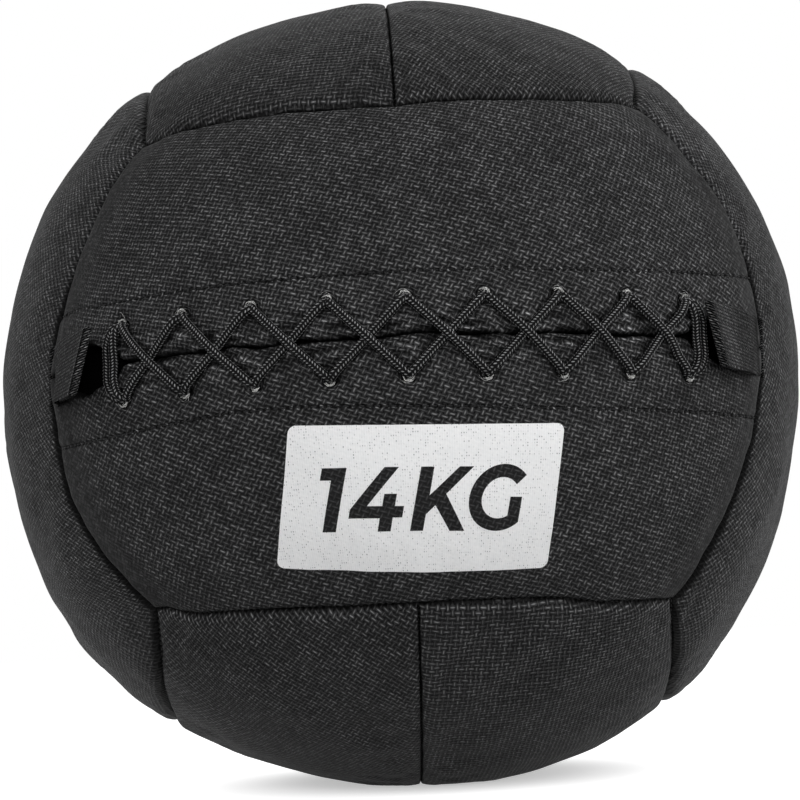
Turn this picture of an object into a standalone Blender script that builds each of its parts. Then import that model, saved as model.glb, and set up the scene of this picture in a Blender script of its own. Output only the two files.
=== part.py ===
"""A soft wall ball: twelve sewn panels, a laced front opening, webbing loops and a weighted filling.

The ball stands on its own flat at z = 0 with the laced face towards -Y. Lengths are in metres.
A place on a face is given by two angles: one along the face's middle split, one across it.
"""

import math

import bmesh
import bpy
from mathutils import Matrix, Vector

# Ball
BALL_RADIUS = 0.176
REST_FLAT_DEPTH = 0.0015
SQUARE_SHARE = 0.0114
OVAL_SHARE = 0.005
SAG_SHARE = 0.005
LACED_FLAT_SHARE = 0.009
# Direction cosines of the corner where three faces meet, for x and z
CORNER_X_SHARE = 0.595
CORNER_Z_SHARE = 0.556

# Cover
COVER_THICKNESS = 0.0020
SEAM_GAP = 0.0003
SEAM_DEPTH = 0.0018
SEAM_REACH = 0.006
PANEL_COLUMNS = 18
PANEL_ROWS = 6
COLUMN_EASE_SHARE = 1.0
ROW_EASE_SHARE = 0.5

# Slit between the two front panels, which gapes near its ends
SLIT_GAP = 0.0008
GAPE_HALF_HEIGHT = 0.0095
GAPE_INSET = 0.0295
GAPE_REACH = 0.0275

# Layers behind the slit
LAYER_GAP = 0.0004
HEM_WIDTH = 0.024
HEM_SEAM_ALLOWANCE = 0.004
HEM_THICKNESS = 0.0012
TONGUE_HALF_HEIGHT = 0.0115
TONGUE_THICKNESS = 0.0015

# Eyelets
EYELET_COUNT = 9
EYELET_PITCH = 0.029
EYELET_RISE = 0.0145
EYELET_BORE = 0.0039
EYELET_WALL = 0.0006
EYELET_CLEARANCE = 0.0003
EYELET_SIDES = 12
EYELET_WALL_SIDES = 5

# Laces
LACE_DIAMETER = 0.0034
LACE_CLEARANCE = 0.0004
LACE_BEND_INSET = 0.0018
LACE_BEND_HALF_WIDTH = 0.0034
LACE_BEND_DEPTH = 0.0026
LACE_TUCK = 0.0062
LACE_STEP = 0.0055
LACE_OUTER_OFFSET = 0.0056
LACE_INNER_OFFSET = 0.0014
LACE_END_INSET = 0.0042

# Webbing loops
WEBBING_WIDTH = 0.025
WEBBING_THICKNESS = 0.0015
LOOP_LENGTH = 0.050
LOOP_GAP = 0.0022
LOOP_ROOT_RADIUS = 0.0015
LOOP_STITCHED_LENGTH = 0.006
LOOP_AXIS_HEIGHT = 0.0028
LOOP_CLEARANCE = 0.0003
LOOP_BLUNTNESS_SHARE = 2.6
LOOP_POINTS = 28
LEFT_LOOP_LIFT_DEG = 9
RIGHT_LOOP_LIFT_DEG = 3
TAIL_SEAT = 0.0008
TAIL_EDGE = 0.0004

# Filling
LINER_THICKNESS = 0.0010
LINER_MOUTH_LENGTH = 0.220
LINER_MOUTH_HEIGHT = 0.016
CORE_RADIUS = 0.100
CORE_BAG_THICKNESS = 0.0012
FILLING_GAP = 0.0004
NECK_RADIUS = 0.022
NECK_HEIGHT = 0.018
TIE_DIAMETER = 0.004
TIE_GAP = 0.0003
FILL_COLUMNS = 20
FILL_ROWS = 12

# How far a cutter runs past what it cuts
CUTTER_OVERRUN = 0.004

CORNER_Y_SHARE = math.sqrt(1 - CORNER_X_SHARE**2 - CORNER_Z_SHARE**2)
CORNER_SHARES = (CORNER_X_SHARE, CORNER_Y_SHARE, CORNER_Z_SHARE)

# Each face: its outward axis, the axis across its split, the axis along it, its halves
FACES = {
    "front": ("-y", "z", "x", ("lower", "upper")),
    "back": ("+y", "z", "x", ("lower", "upper")),
    "top": ("+z", "x", "y", ("left", "right")),
    "bottom": ("-z", "x", "y", ("left", "right")),
    "left": ("-x", "y", "z", ("front", "back")),
    "right": ("+x", "y", "z", ("front", "back")),
}


def axis_number(axis):
    """Number of an axis given as its letter, with or without a sign before it."""
    return "xyz".index(axis[-1])


def settled_radius(direction):
    """Radius of the ball along a unit direction once it has settled on the floor, without seams."""
    x, y, z = direction
    square = x**4 - 6 * x**2 * z**2 + z**4
    oval = x**2 - z**2
    low = 3 * x**2 * z - z**3
    laced = max(0, -y) ** 4
    sag = SQUARE_SHARE * square - OVAL_SHARE * oval + SAG_SHARE * low
    return BALL_RADIUS * (1 - sag - LACED_FLAT_SHARE * laced)


CENTRE = Vector((0, 0, settled_radius((0, 0, -1)) - REST_FLAT_DEPTH))


def across_limit(face):
    """Angle across the split at which a face meets its neighbours."""
    return math.asin(CORNER_SHARES[axis_number(FACES[face][1])])


def along_limit(face, across):
    """Angle along the split at which a face ends, at an angle across it."""
    return math.acos(CORNER_SHARES[axis_number(FACES[face][0])] / math.cos(across))


def slit_half_gap(face, along):
    """Half the angle between the two halves of a face, which only the laced slit widens."""
    half = SEAM_GAP / 2
    if face == "front":
        to_side = (along_limit(face, 0) - abs(along)) * BALL_RADIUS
        place = (to_side - GAPE_INSET) / GAPE_REACH
        bump = max(0, 1 - place**2) ** 2
        half = SLIT_GAP / 2 + GAPE_HALF_HEIGHT * bump
    return half / BALL_RADIUS


def seam_dip(face, along, across):
    """How far the skin is drawn in at a place by the seams around it."""
    to_split = abs(across) - slit_half_gap(face, along)
    to_end = across_limit(face) - abs(across)
    to_side = (along_limit(face, across) - abs(along)) * math.cos(across)
    free = 1
    for angle in (to_split, to_end, to_side):
        free *= 1 - math.exp(-max(0, angle) * BALL_RADIUS / SEAM_REACH)
    return SEAM_DEPTH * (1 - free)


def face_direction(face, along, across):
    """Unit direction of a place on a face."""
    outward, across_axis, along_axis, _ = FACES[face]
    direction = Vector((0, 0, 0))
    depth = math.cos(across) * math.cos(along)
    direction[axis_number(outward)] = -depth if outward.startswith("-") else depth
    direction[axis_number(across_axis)] = math.sin(across)
    direction[axis_number(along_axis)] = math.cos(across) * math.sin(along)
    return direction


def skin_point(face, along, across, height=0):
    """Point of the cover's outer skin, or at a height over it."""
    direction = face_direction(face, along, across)
    radius = settled_radius(direction) - seam_dip(face, along, across) + height
    return CENTRE + direction * radius


def lining_point(direction, depth):
    """Point of an inner layer whose outer side lies a depth below the drawn-in seams."""
    return CENTRE + direction * (settled_radius(direction) - SEAM_DEPTH - depth)


def front_point(arc, rise, height):
    """Point over the laced face: arc along the slit, rise above it, height over the skin."""
    return skin_point("front", arc / BALL_RADIUS, rise / BALL_RADIUS, height)


def make_material(name, colour, roughness, metallic=0):
    """Plain Principled material."""
    material = bpy.data.materials.new(name)
    material.use_nodes = True
    shader = material.node_tree.nodes["Principled BSDF"]
    shader.inputs["Base Color"].default_value = (*colour, 1)
    shader.inputs["Roughness"].default_value = roughness
    shader.inputs["Metallic"].default_value = metallic
    return material


def add_object(name, data, collection, material=None):
    """Object in its collection, with its material."""
    item = bpy.data.objects.new(name, data)
    collection.objects.link(item)
    if material:
        data.materials.append(material)
    return item


def finish_mesh(shape, name, smooth_angle=math.radians(35)):
    """Mesh data from a bmesh, shaded smooth except at its real edges."""
    mesh = bpy.data.meshes.new(name)
    shape.to_mesh(mesh)
    shape.free()
    mesh.shade_smooth()
    mesh.set_sharp_from_angle(angle=smooth_angle)
    return mesh


def turn_outwards(shape):
    """Turn an open patch's faces away from the ball's centre."""
    shape.normal_update()
    facing = sum(face.normal.dot(face.calc_center_median() - CENTRE) for face in shape.faces)
    if facing < 0:
        bmesh.ops.reverse_faces(shape, faces=shape.faces[:])


def add_solidify(item, thickness):
    """Give an open skin its thickness on its inner side."""
    solidify = item.modifiers.new("thickness", "SOLIDIFY")
    solidify.thickness = thickness
    solidify.offset = -1


def add_cut(item, cutter):
    """Take away a cutter that stays in the cutters' collection."""
    cut = item.modifiers.new(cutter.name, "BOOLEAN")
    cut.operation = "DIFFERENCE"
    cut.solver = "EXACT"
    cut.object = cutter


def unit_grid(columns, rows):
    """Flat grid with both sides from -1 to 1."""
    shape = bmesh.new()
    bmesh.ops.create_grid(shape, x_segments=columns, y_segments=rows, size=1)
    return shape


def eased_column(place):
    """Move columns towards both ends of a row, from -1 to 1."""
    return math.sin(COLUMN_EASE_SHARE * place) / math.sin(COLUMN_EASE_SHARE)


def eased_row(place):
    """Move rows towards both seams of a panel, from 0 to 1."""
    return place - ROW_EASE_SHARE * math.sin(math.tau * place) / math.tau


def panel_mesh(name, face, side):
    """One half of a face, as an open skin between its seams."""
    shape = unit_grid(PANEL_COLUMNS, PANEL_ROWS)
    seam = SEAM_GAP / 2 / BALL_RADIUS
    for vertex in shape.verts:
        column = eased_column(vertex.co.x)
        row = eased_row((vertex.co.y + 1) / 2)
        far = across_limit(face) - seam
        reach = along_limit(face, row * far) - seam
        near = slit_half_gap(face, column * reach)
        across = near + row * (far - near)
        along = column * (along_limit(face, across) - seam / math.cos(across))
        vertex.co = skin_point(face, along, side * across)
    turn_outwards(shape)
    return finish_mesh(shape, name)


def strip_mesh(name, inner_rise, outer_rise, side_inset, depth):
    """Strip of lining behind the slit, between two lines that follow it."""
    shape = unit_grid(PANEL_COLUMNS, 1)
    for vertex in shape.verts:
        column = eased_column(vertex.co.x)
        widest = max(abs(inner_rise), abs(outer_rise)) / BALL_RADIUS
        along = column * (along_limit("front", widest) - side_inset / BALL_RADIUS)
        rise = inner_rise if vertex.co.y < 0 else outer_rise
        direction = face_direction("front", along, rise / BALL_RADIUS)
        vertex.co = lining_point(direction, depth)
    turn_outwards(shape)
    return finish_mesh(shape, name)


def hem_mesh(name, side, depth):
    """Hem facing behind one lip: its inner edge follows the lip, its outer edge is straight."""
    shape = unit_grid(PANEL_COLUMNS, 1)
    outer = HEM_WIDTH / BALL_RADIUS
    reach = along_limit("front", outer) - HEM_SEAM_ALLOWANCE / BALL_RADIUS
    for vertex in shape.verts:
        along = eased_column(vertex.co.x) * reach
        across = slit_half_gap("front", along) if vertex.co.y < 0 else outer
        direction = face_direction("front", along, side * across)
        vertex.co = lining_point(direction, depth)
    turn_outwards(shape)
    return finish_mesh(shape, name)


def fill_ball(radius_at):
    """Round filling shape whose radius is given along each direction."""
    shape = bmesh.new()
    bmesh.ops.create_uvsphere(shape, u_segments=FILL_COLUMNS, v_segments=FILL_ROWS, radius=1)
    for vertex in shape.verts:
        direction = vertex.co.normalized()
        vertex.co = CENTRE + direction * radius_at(direction)
    return shape


def add_box_cutter(name, corner, opposite, collection):
    """Box cutter between two corners."""
    shape = bmesh.new()
    bmesh.ops.create_cube(shape, size=1)
    corner = Vector(corner)
    opposite = Vector(opposite)
    middle = (corner + opposite) / 2
    size = opposite - corner
    for vertex in shape.verts:
        vertex.co = middle + vertex.co * size
    return add_cutter(name, shape, collection)


def add_cutter(name, shape, collection):
    """Hidden wire object that only cuts."""
    cutter = add_object(name, finish_mesh(shape, name), collection)
    cutter.display_type = "WIRE"
    cutter.hide_render = True
    return cutter


def eyelet_arcs():
    """Places of the eyelets along the slit."""
    middle = (EYELET_COUNT - 1) / 2
    return [(index - middle) * EYELET_PITCH for index in range(EYELET_COUNT)]


def outward_turn(direction):
    """Rotation that turns +Z to a direction."""
    return direction.to_track_quat("Z", "Y").to_matrix().to_4x4()


def add_eyelet_cutter(name, side, collection):
    """One row of cylinders that cuts the eyelet holes through the cover and the hem."""
    shape = bmesh.new()
    radius = EYELET_BORE / 2 + EYELET_WALL + EYELET_CLEARANCE
    depth = 2 * (SEAM_DEPTH + COVER_THICKNESS + HEM_THICKNESS + CUTTER_OVERRUN)
    for arc in eyelet_arcs():
        place = front_point(arc, side * EYELET_RISE, 0)
        matrix = Matrix.Translation(place) @ outward_turn(place - CENTRE)
        bmesh.ops.create_cone(
            shape,
            cap_ends=True,
            segments=EYELET_SIDES,
            radius1=radius,
            radius2=radius,
            depth=depth,
            matrix=matrix,
        )
    return add_cutter(name, shape, collection)


def add_cover(materials, parts, cutters):
    """Twelve panels, with the resting flat and the eyelet holes cut."""
    floor = add_box_cutter(
        "floor_cutter",
        (-BALL_RADIUS, -BALL_RADIUS, -BALL_RADIUS),
        (BALL_RADIUS, BALL_RADIUS, 0),
        cutters,
    )
    rows = {side: add_eyelet_cutter(f"eyelet_cutter_{word}", side, cutters)
            for side, word in ((-1, "lower"), (1, "upper"))}
    for face, (_, _, _, halves) in FACES.items():
        for side, half in zip((-1, 1), halves):
            name = f"panel_{face}_{half}"
            panel = add_object(name, panel_mesh(name, face, side), parts, materials["cover"])
            add_solidify(panel, COVER_THICKNESS)
            if face == "bottom":
                add_cut(panel, floor)
            if face == "front":
                add_cut(panel, rows[side])
    return rows


def add_hems(materials, parts, rows):
    """Hem facings behind the lips, and the tongue that closes the slit from inside."""
    hem_depth = COVER_THICKNESS + LAYER_GAP
    for side, word in ((-1, "lower"), (1, "upper")):
        name = f"hem_facing_{word}"
        hem = add_object(name, hem_mesh(name, side, hem_depth), parts, materials["hem"])
        add_solidify(hem, HEM_THICKNESS)
        add_cut(hem, rows[side])
    tongue_depth = hem_depth + HEM_THICKNESS + LAYER_GAP
    mesh = strip_mesh(
        "closure_tongue", -TONGUE_HALF_HEIGHT, TONGUE_HALF_HEIGHT, HEM_SEAM_ALLOWANCE, tongue_depth
    )
    tongue = add_object("closure_tongue", mesh, parts, materials["hem"])
    add_solidify(tongue, TONGUE_THICKNESS)
    return tongue_depth + TONGUE_THICKNESS + LAYER_GAP


def add_eyelets(materials, parts):
    """A ring flush in each eyelet hole."""
    for side, word in ((-1, "lower"), (1, "upper")):
        for number, arc in enumerate(eyelet_arcs(), start=1):
            place = front_point(arc, side * EYELET_RISE, 0)
            bpy.ops.mesh.primitive_torus_add(
                major_segments=EYELET_SIDES,
                minor_segments=EYELET_WALL_SIDES,
                major_radius=(EYELET_BORE + EYELET_WALL) / 2,
                minor_radius=EYELET_WALL / 2,
            )
            eyelet = bpy.context.object
            eyelet.name = f"eyelet_{word}_{number}"
            eyelet.matrix_world = Matrix.Translation(place) @ outward_turn(place - CENTRE)
            eyelet.data.shade_smooth()
            eyelet.data.materials.append(materials["eyelet"])
            move_to_collection(eyelet, parts)


def move_to_collection(item, collection):
    """Put an object that an operator made into one collection only."""
    for old in list(item.users_collection):
        old.objects.unlink(item)
    collection.objects.link(item)


def smooth_points(route, step):
    """Points at about one step apart on a smooth curve through a route's points."""
    points = [route[0]]
    for index in range(len(route) - 1):
        start, end = route[index], route[index + 1]
        before = route[index - 1] if index else start * 2 - end
        after = route[index + 2] if index + 2 < len(route) else end * 2 - start
        count = max(1, round((end - start).length / step))
        for number in range(1, count + 1):
            part = number / count
            points.append(catmull_rom(before, start, end, after, part))
    return points


def catmull_rom(before, start, end, after, part):
    """Point between start and end on the curve that passes through all four."""
    linear = (end - before) * part
    square = (before * 2 - start * 5 + end * 4 - after) * part**2
    cubic = (start * 3 - before - end * 3 + after) * part**3
    return (start * 2 + linear + square + cubic) / 2


def lace_route(first_side):
    """Route of one lace from left to right, as arc, rise and height over the skin.

    The lace whose first side is 1 turns at the upper left eyelet and ends in the lower ones.
    """
    arcs = eyelet_arcs()
    low = LACE_DIAMETER / 2 + LACE_CLEARANCE
    high = low + LACE_DIAMETER + LACE_CLEARANCE
    left = lace_end(first_side, arcs[0], -1, low, high)
    right = lace_end(first_side, arcs[-1], 1, low, high)
    route = list(left)
    side = first_side
    for index, arc in enumerate(arcs):
        inner = 0 < index < len(arcs) - 1
        if inner:
            apex = side * (EYELET_RISE - LACE_BEND_INSET)
            flank = side * (EYELET_RISE - LACE_BEND_INSET - LACE_BEND_DEPTH)
            route.append((arc - LACE_BEND_HALF_WIDTH, flank, low))
            route.append((arc - LACE_BEND_HALF_WIDTH / 3, apex, low))
            route.append((arc + LACE_BEND_HALF_WIDTH / 3, apex, low))
            route.append((arc + LACE_BEND_HALF_WIDTH, flank, low))
        if index < len(arcs) - 1:
            falling = side > 0
            route.append(((arc + arcs[index + 1]) / 2, 0, high if falling else low))
        side = -side
    route.extend(reversed(right))
    return route


def rim_turn(arc, rise, arc_way, rise_way):
    """Quarter turn of a lace out of an eyelet, round its rim, towards one way over the skin."""
    radius = (EYELET_BORE + EYELET_WALL) / 2
    turn = [(arc, rise, -LACE_TUCK)]
    for degrees in (0, 30, 60, 90):
        angle = math.radians(degrees)
        out = radius * (1 - math.cos(angle))
        turn.append((arc + arc_way * out, rise + rise_way * out, radius * math.sin(angle)))
    return turn


def lace_end(first_side, arc, outward, low, high):
    """A lace's tucked end, the strand beside the last eyelets and the bend into the zigzag.

    The lace that turns at the upper eyelets lies outside the other one and passes over its strand.
    """
    turn = first_side
    hole = -turn * EYELET_RISE
    bend = turn * (EYELET_RISE - LACE_END_INSET)
    middle = (low + high) / 2
    over = high + 2 * LACE_CLEARANCE
    if first_side > 0:
        end = rim_turn(arc, hole, outward, 0)
        strand = arc + outward * LACE_OUTER_OFFSET
        end.append((strand, hole + turn * LACE_DIAMETER, low))
        end.append((strand + outward * LACE_CLEARANCE, 0, low))
        end.append((strand, bend - turn * LACE_DIAMETER, middle))
        end.append((arc + outward * LACE_DIAMETER / 2, bend + turn * LACE_DIAMETER / 3, over))
        end.append((arc - outward * LACE_DIAMETER / 2, bend, over))
        end.append((arc - outward * LACE_DIAMETER * 2, bend - turn * LACE_DIAMETER, middle))
    else:
        end = rim_turn(arc, hole, 0, turn)
        strand = arc + outward * LACE_INNER_OFFSET
        end.append((strand, hole + turn * 2 * LACE_DIAMETER, low))
        end.append((strand, 0, low))
        end.append((strand, bend - turn * LACE_DIAMETER, low))
        end.append((arc - outward * LACE_DIAMETER / 3, bend, low))
        end.append((arc - outward * LACE_DIAMETER * 1.6, bend - turn * LACE_DIAMETER / 2, low))
    return end


def add_tube(name, points, diameter, collection, material):
    """Round tube along a line of points."""
    curve = bpy.data.curves.new(name, "CURVE")
    curve.dimensions = "3D"
    curve.bevel_depth = diameter / 2
    curve.bevel_resolution = 2
    curve.use_fill_caps = True
    spline = curve.splines.new("POLY")
    spline.points.add(len(points) - 1)
    for target, point in zip(spline.points, points):
        target.co = (*point, 1)
    spline.use_smooth = True
    return add_object(name, curve, collection, material)


def add_laces(materials, parts):
    """Two laces that cross at every step and share each row of eyelets in turn."""
    for name, first_side in (("lace_outer", 1), ("lace_inner", -1)):
        route = [front_point(*place) for place in lace_route(first_side)]
        add_tube(name, smooth_points(route, LACE_STEP), LACE_DIAMETER, parts, materials["lace"])


def loop_axis(outward):
    """Point on the hinge line of a webbing loop, at the middle of a side seam, and its radial direction."""
    along = outward * along_limit("front", 0)
    direction = face_direction("front", along, 0)
    return CENTRE + direction * (settled_radius(direction) + LOOP_AXIS_HEIGHT), direction


def loop_frame(outward, lift):
    """Placement of a loop: x along the strap, y through it, z along its hinge."""
    point, radial = loop_axis(outward)
    hinge = Vector((0, 0, outward))
    inward = radial.cross(hinge)
    strap = inward * math.cos(lift) + radial * math.sin(lift)
    through = hinge.cross(strap)
    turn = Matrix((strap, through, hinge)).transposed().to_4x4()
    return Matrix.Translation(point) @ turn


def blunt_oval(start, end, half_height, count):
    """Closed blunt outline between two places along x."""
    middle, reach = (start + end) / 2, (end - start) / 2
    power = 2 / LOOP_BLUNTNESS_SHARE
    points = []
    for number in range(count):
        angle = math.tau * number / count
        wide, tall = math.cos(angle), math.sin(angle)
        x = middle + math.copysign(abs(wide) ** power, wide) * reach
        y = math.copysign(abs(tall) ** power, tall) * half_height
        points.append((x, y))
    return points


def add_outline(curve, points):
    """Closed flat outline."""
    spline = curve.splines.new("POLY")
    spline.points.add(len(points) - 1)
    for target, (x, y) in zip(spline.points, points):
        target.co = (x, y, 0, 1)
    spline.use_cyclic_u = True


def add_loops(materials, parts):
    """Folded webbing loops, each on its hinge line at the end of the slit, and their sewn tails."""
    lifts = {-1: math.radians(LEFT_LOOP_LIFT_DEG), 1: math.radians(RIGHT_LOOP_LIFT_DEG)}
    for outward, word in ((-1, "left"), (1, "right")):
        name = f"webbing_loop_{word}"
        curve = bpy.data.curves.new(name, "CURVE")
        curve.dimensions = "2D"
        curve.fill_mode = "BOTH"
        curve.extrude = WEBBING_WIDTH / 2
        half = WEBBING_THICKNESS + LOOP_GAP / 2
        add_outline(curve, blunt_oval(-LOOP_ROOT_RADIUS, LOOP_LENGTH, half, LOOP_POINTS))
        opening_end = LOOP_LENGTH - WEBBING_THICKNESS
        add_outline(curve, blunt_oval(LOOP_STITCHED_LENGTH, opening_end, LOOP_GAP / 2, LOOP_POINTS))
        loop = add_object(name, curve, parts, materials["webbing"])
        loop.matrix_world = loop_frame(outward, lifts[outward])
        add_tail(f"webbing_tail_{word}", outward, materials, parts)


def add_tail(name, outward, materials, parts):
    """The end of the webbing that stands in the seam under its loop."""
    bottom = -SEAM_DEPTH + TAIL_SEAT
    top = LOOP_AXIS_HEIGHT - LOOP_ROOT_RADIUS - 2 * LOOP_CLEARANCE
    size = Vector((2 * WEBBING_THICKNESS, top - bottom, WEBBING_WIDTH))
    shape = bmesh.new()
    bmesh.ops.create_cube(shape, size=1)
    rise = (top + bottom) / 2 - LOOP_AXIS_HEIGHT
    for vertex in shape.verts:
        vertex.co = vertex.co * size + Vector((0, rise, 0))
    tail = add_object(name, finish_mesh(shape, name), parts, materials["webbing"])
    tail.matrix_world = loop_frame(outward, 0)
    bevel = tail.modifiers.new("edges", "BEVEL")
    bevel.width = TAIL_EDGE
    bevel.segments = 1


def add_liner(materials, parts, cutters, depth):
    """Inner bag with its filling mouth behind the tongue."""
    shape = fill_ball(lambda direction: settled_radius(direction) - SEAM_DEPTH - depth)
    liner = add_object("inner_liner", finish_mesh(shape, "inner_liner"), parts, materials["liner"])
    add_solidify(liner, LINER_THICKNESS)
    half_length, half_height = LINER_MOUTH_LENGTH / 2, LINER_MOUTH_HEIGHT / 2
    mouth = add_box_cutter(
        "mouth_cutter",
        CENTRE + Vector((-half_length, -BALL_RADIUS - CUTTER_OVERRUN, -half_height)),
        CENTRE + Vector((half_length, -CORE_RADIUS, half_height)),
        cutters,
    )
    add_cut(liner, mouth)
    return depth + LINER_THICKNESS + FILLING_GAP


def add_wadding(materials, parts, cutters, depth):
    """Fibre wadding in two halves round the weighted core."""
    column_sag = math.cos(math.pi / FILL_COLUMNS)
    row_sag = math.cos(math.pi / FILL_ROWS / 2)
    hollow_radius = (CORE_RADIUS + FILLING_GAP) / (column_sag * row_sag)
    hollow = add_cutter("core_cutter", fill_ball(lambda direction: hollow_radius), cutters)
    neck = bmesh.new()
    neck_radius = NECK_RADIUS + CORE_BAG_THICKNESS + TIE_DIAMETER + 2 * TIE_GAP
    neck_top = neck_height_top() + FILLING_GAP
    bmesh.ops.create_cone(
        neck,
        cap_ends=True,
        segments=FILL_COLUMNS,
        radius1=neck_radius,
        radius2=neck_radius,
        depth=neck_top,
        matrix=Matrix.Translation(CENTRE + Vector((0, 0, neck_top / 2))),
    )
    neck_cutter = add_cutter("neck_cutter", neck, cutters)
    reach = BALL_RADIUS + CUTTER_OVERRUN
    for side, word in ((-1, "lower"), (1, "upper")):
        name = f"wadding_{word}"
        shape = fill_ball(lambda direction: settled_radius(direction) - SEAM_DEPTH - depth)
        half = add_object(name, finish_mesh(shape, name), parts, materials["wadding"])
        edge = side * FILLING_GAP / 2
        levels = sorted((edge, -side * reach))
        other_half = add_box_cutter(
            f"{name}_cutter",
            CENTRE + Vector((-reach, -reach, levels[0])),
            CENTRE + Vector((reach, reach, levels[1])),
            cutters,
        )
        add_cut(half, other_half)
        add_cut(half, hollow)
        if side > 0:
            add_cut(half, neck_cutter)


def neck_height_top():
    """Height of the core bag's mouth over the ball's centre."""
    return CORE_RADIUS * math.cos(math.pi / FILL_ROWS) + NECK_HEIGHT


def add_core(materials, parts):
    """Core bag with a gathered neck, the iron sand inside it and the tie round the neck."""
    shape = fill_ball(lambda direction: CORE_RADIUS)
    pole = max(shape.verts, key=lambda vertex: vertex.co.z)
    bmesh.ops.delete(shape, geom=[pole], context="VERTS")
    rim = [edge for edge in shape.edges if edge.is_boundary]
    for rise in (NECK_HEIGHT / 3, NECK_HEIGHT * 2 / 3):
        made = bmesh.ops.extrude_edge_only(shape, edges=rim)["geom"]
        rim = [item for item in made if isinstance(item, bmesh.types.BMEdge)]
        for vertex in [item for item in made if isinstance(item, bmesh.types.BMVert)]:
            flat = Vector((vertex.co.x, vertex.co.y, 0))
            vertex.co = flat.normalized() * NECK_RADIUS + Vector((0, 0, vertex.co.z + rise))
    bag = add_object("core_bag", finish_mesh(shape, "core_bag"), parts, materials["core_bag"])
    add_solidify(bag, CORE_BAG_THICKNESS)
    sand_radius = CORE_RADIUS - CORE_BAG_THICKNESS - FILLING_GAP
    sand = fill_ball(lambda direction: sand_radius)
    add_object("iron_sand", finish_mesh(sand, "iron_sand"), parts, materials["sand"])
    bpy.ops.mesh.primitive_torus_add(
        major_segments=FILL_COLUMNS,
        minor_segments=EYELET_WALL_SIDES,
        major_radius=NECK_RADIUS + TIE_GAP + TIE_DIAMETER / 2,
        minor_radius=TIE_DIAMETER / 2,
        location=CENTRE + Vector((0, 0, neck_height_top() - NECK_HEIGHT / 3)),
    )
    tie = bpy.context.object
    tie.name = "core_tie"
    tie.data.shade_smooth()
    tie.data.materials.append(materials["lace"])
    move_to_collection(tie, parts)


def clear_scene():
    """Remove what the file starts with."""
    for item in list(bpy.data.objects):
        bpy.data.objects.remove(item, do_unlink=True)


def main():
    """Build the ball."""
    clear_scene()
    parts = bpy.data.collections.new("wall_ball")
    cutters = bpy.data.collections.new("cutters")
    for collection in (parts, cutters):
        bpy.context.scene.collection.children.link(collection)
    materials = {
        "cover": make_material("cover_cloth", (0.030, 0.031, 0.033), 0.6),
        "hem": make_material("hem_cloth", (0.012, 0.012, 0.013), 0.7),
        "eyelet": make_material("eyelet_thread", (0.70, 0.70, 0.68), 0.5),
        "lace": make_material("lace_braid", (0.018, 0.018, 0.020), 0.45),
        "webbing": make_material("webbing_weave", (0.016, 0.016, 0.018), 0.6),
        "liner": make_material("liner_cloth", (0.22, 0.22, 0.23), 0.8),
        "wadding": make_material("wadding_fibre", (0.78, 0.77, 0.74), 0.95),
        "core_bag": make_material("core_bag_cloth", (0.33, 0.31, 0.27), 0.85),
        "sand": make_material("sand_grain", (0.075, 0.070, 0.068), 0.7, 0.4),
    }
    rows = add_cover(materials, parts, cutters)
    liner_depth = add_hems(materials, parts, rows)
    add_eyelets(materials, parts)
    add_laces(materials, parts)
    add_loops(materials, parts)
    wadding_depth = add_liner(materials, parts, cutters, liner_depth)
    add_wadding(materials, parts, cutters, wadding_depth)
    add_core(materials, parts)


main()
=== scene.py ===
"""A soft wall ball in a pale studio: sewn cover, laced slit, webbing loops, printed weight, filling."""

import math

import bmesh
import bpy
import numpy as np
from mathutils import Matrix, Vector


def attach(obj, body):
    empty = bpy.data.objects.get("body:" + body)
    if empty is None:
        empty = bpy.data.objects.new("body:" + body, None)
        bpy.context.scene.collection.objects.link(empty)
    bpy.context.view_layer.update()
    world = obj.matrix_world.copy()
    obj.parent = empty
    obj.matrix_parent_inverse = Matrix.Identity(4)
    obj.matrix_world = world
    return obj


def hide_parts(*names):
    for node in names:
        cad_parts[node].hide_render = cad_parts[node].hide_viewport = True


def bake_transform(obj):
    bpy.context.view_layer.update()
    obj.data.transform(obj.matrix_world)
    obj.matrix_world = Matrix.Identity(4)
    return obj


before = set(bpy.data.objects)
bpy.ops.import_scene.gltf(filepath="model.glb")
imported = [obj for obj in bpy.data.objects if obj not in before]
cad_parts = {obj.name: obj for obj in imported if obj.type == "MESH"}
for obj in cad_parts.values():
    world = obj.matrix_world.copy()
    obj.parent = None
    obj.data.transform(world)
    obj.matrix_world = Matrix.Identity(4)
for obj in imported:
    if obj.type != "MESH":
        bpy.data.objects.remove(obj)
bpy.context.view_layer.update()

# The ball, as in the CAD source
BALL_RADIUS = 0.176
REST_FLAT_DEPTH = 0.0015
SQUARE_SHARE = 0.0114
OVAL_SHARE = 0.005
SAG_SHARE = 0.005
LACED_FLAT_SHARE = 0.009
CORNER_X_SHARE = 0.595
CORNER_Z_SHARE = 0.556
COVER_THICKNESS = 0.0020
SEAM_GAP = 0.0003
SEAM_DEPTH = 0.0018
SEAM_REACH = 0.006
SLIT_GAP = 0.0008
GAPE_HALF_HEIGHT = 0.0095
GAPE_INSET = 0.0295
GAPE_REACH = 0.0275
LAYER_GAP = 0.0004
HEM_WIDTH = 0.024
HEM_SEAM_ALLOWANCE = 0.004
HEM_THICKNESS = 0.0012
TONGUE_HALF_HEIGHT = 0.0115
TONGUE_THICKNESS = 0.0015
EYELET_COUNT = 9
EYELET_PITCH = 0.029
EYELET_RISE = 0.0145
EYELET_BORE = 0.0039
LACE_DIAMETER = 0.0034
LACE_CLEARANCE = 0.0004
LACE_TUCK = 0.0062
LACE_SQUEEZE_SHARE = 0.92
LACE_FLANK = 0.0042
LACE_TIP_INSET = 0.0004
LACE_DIP = 0.0010
LACE_DIP_START = 0.0010
LACE_SPREAD = 0.0012
LACE_OUTER_STRAND = 0.0066
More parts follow.
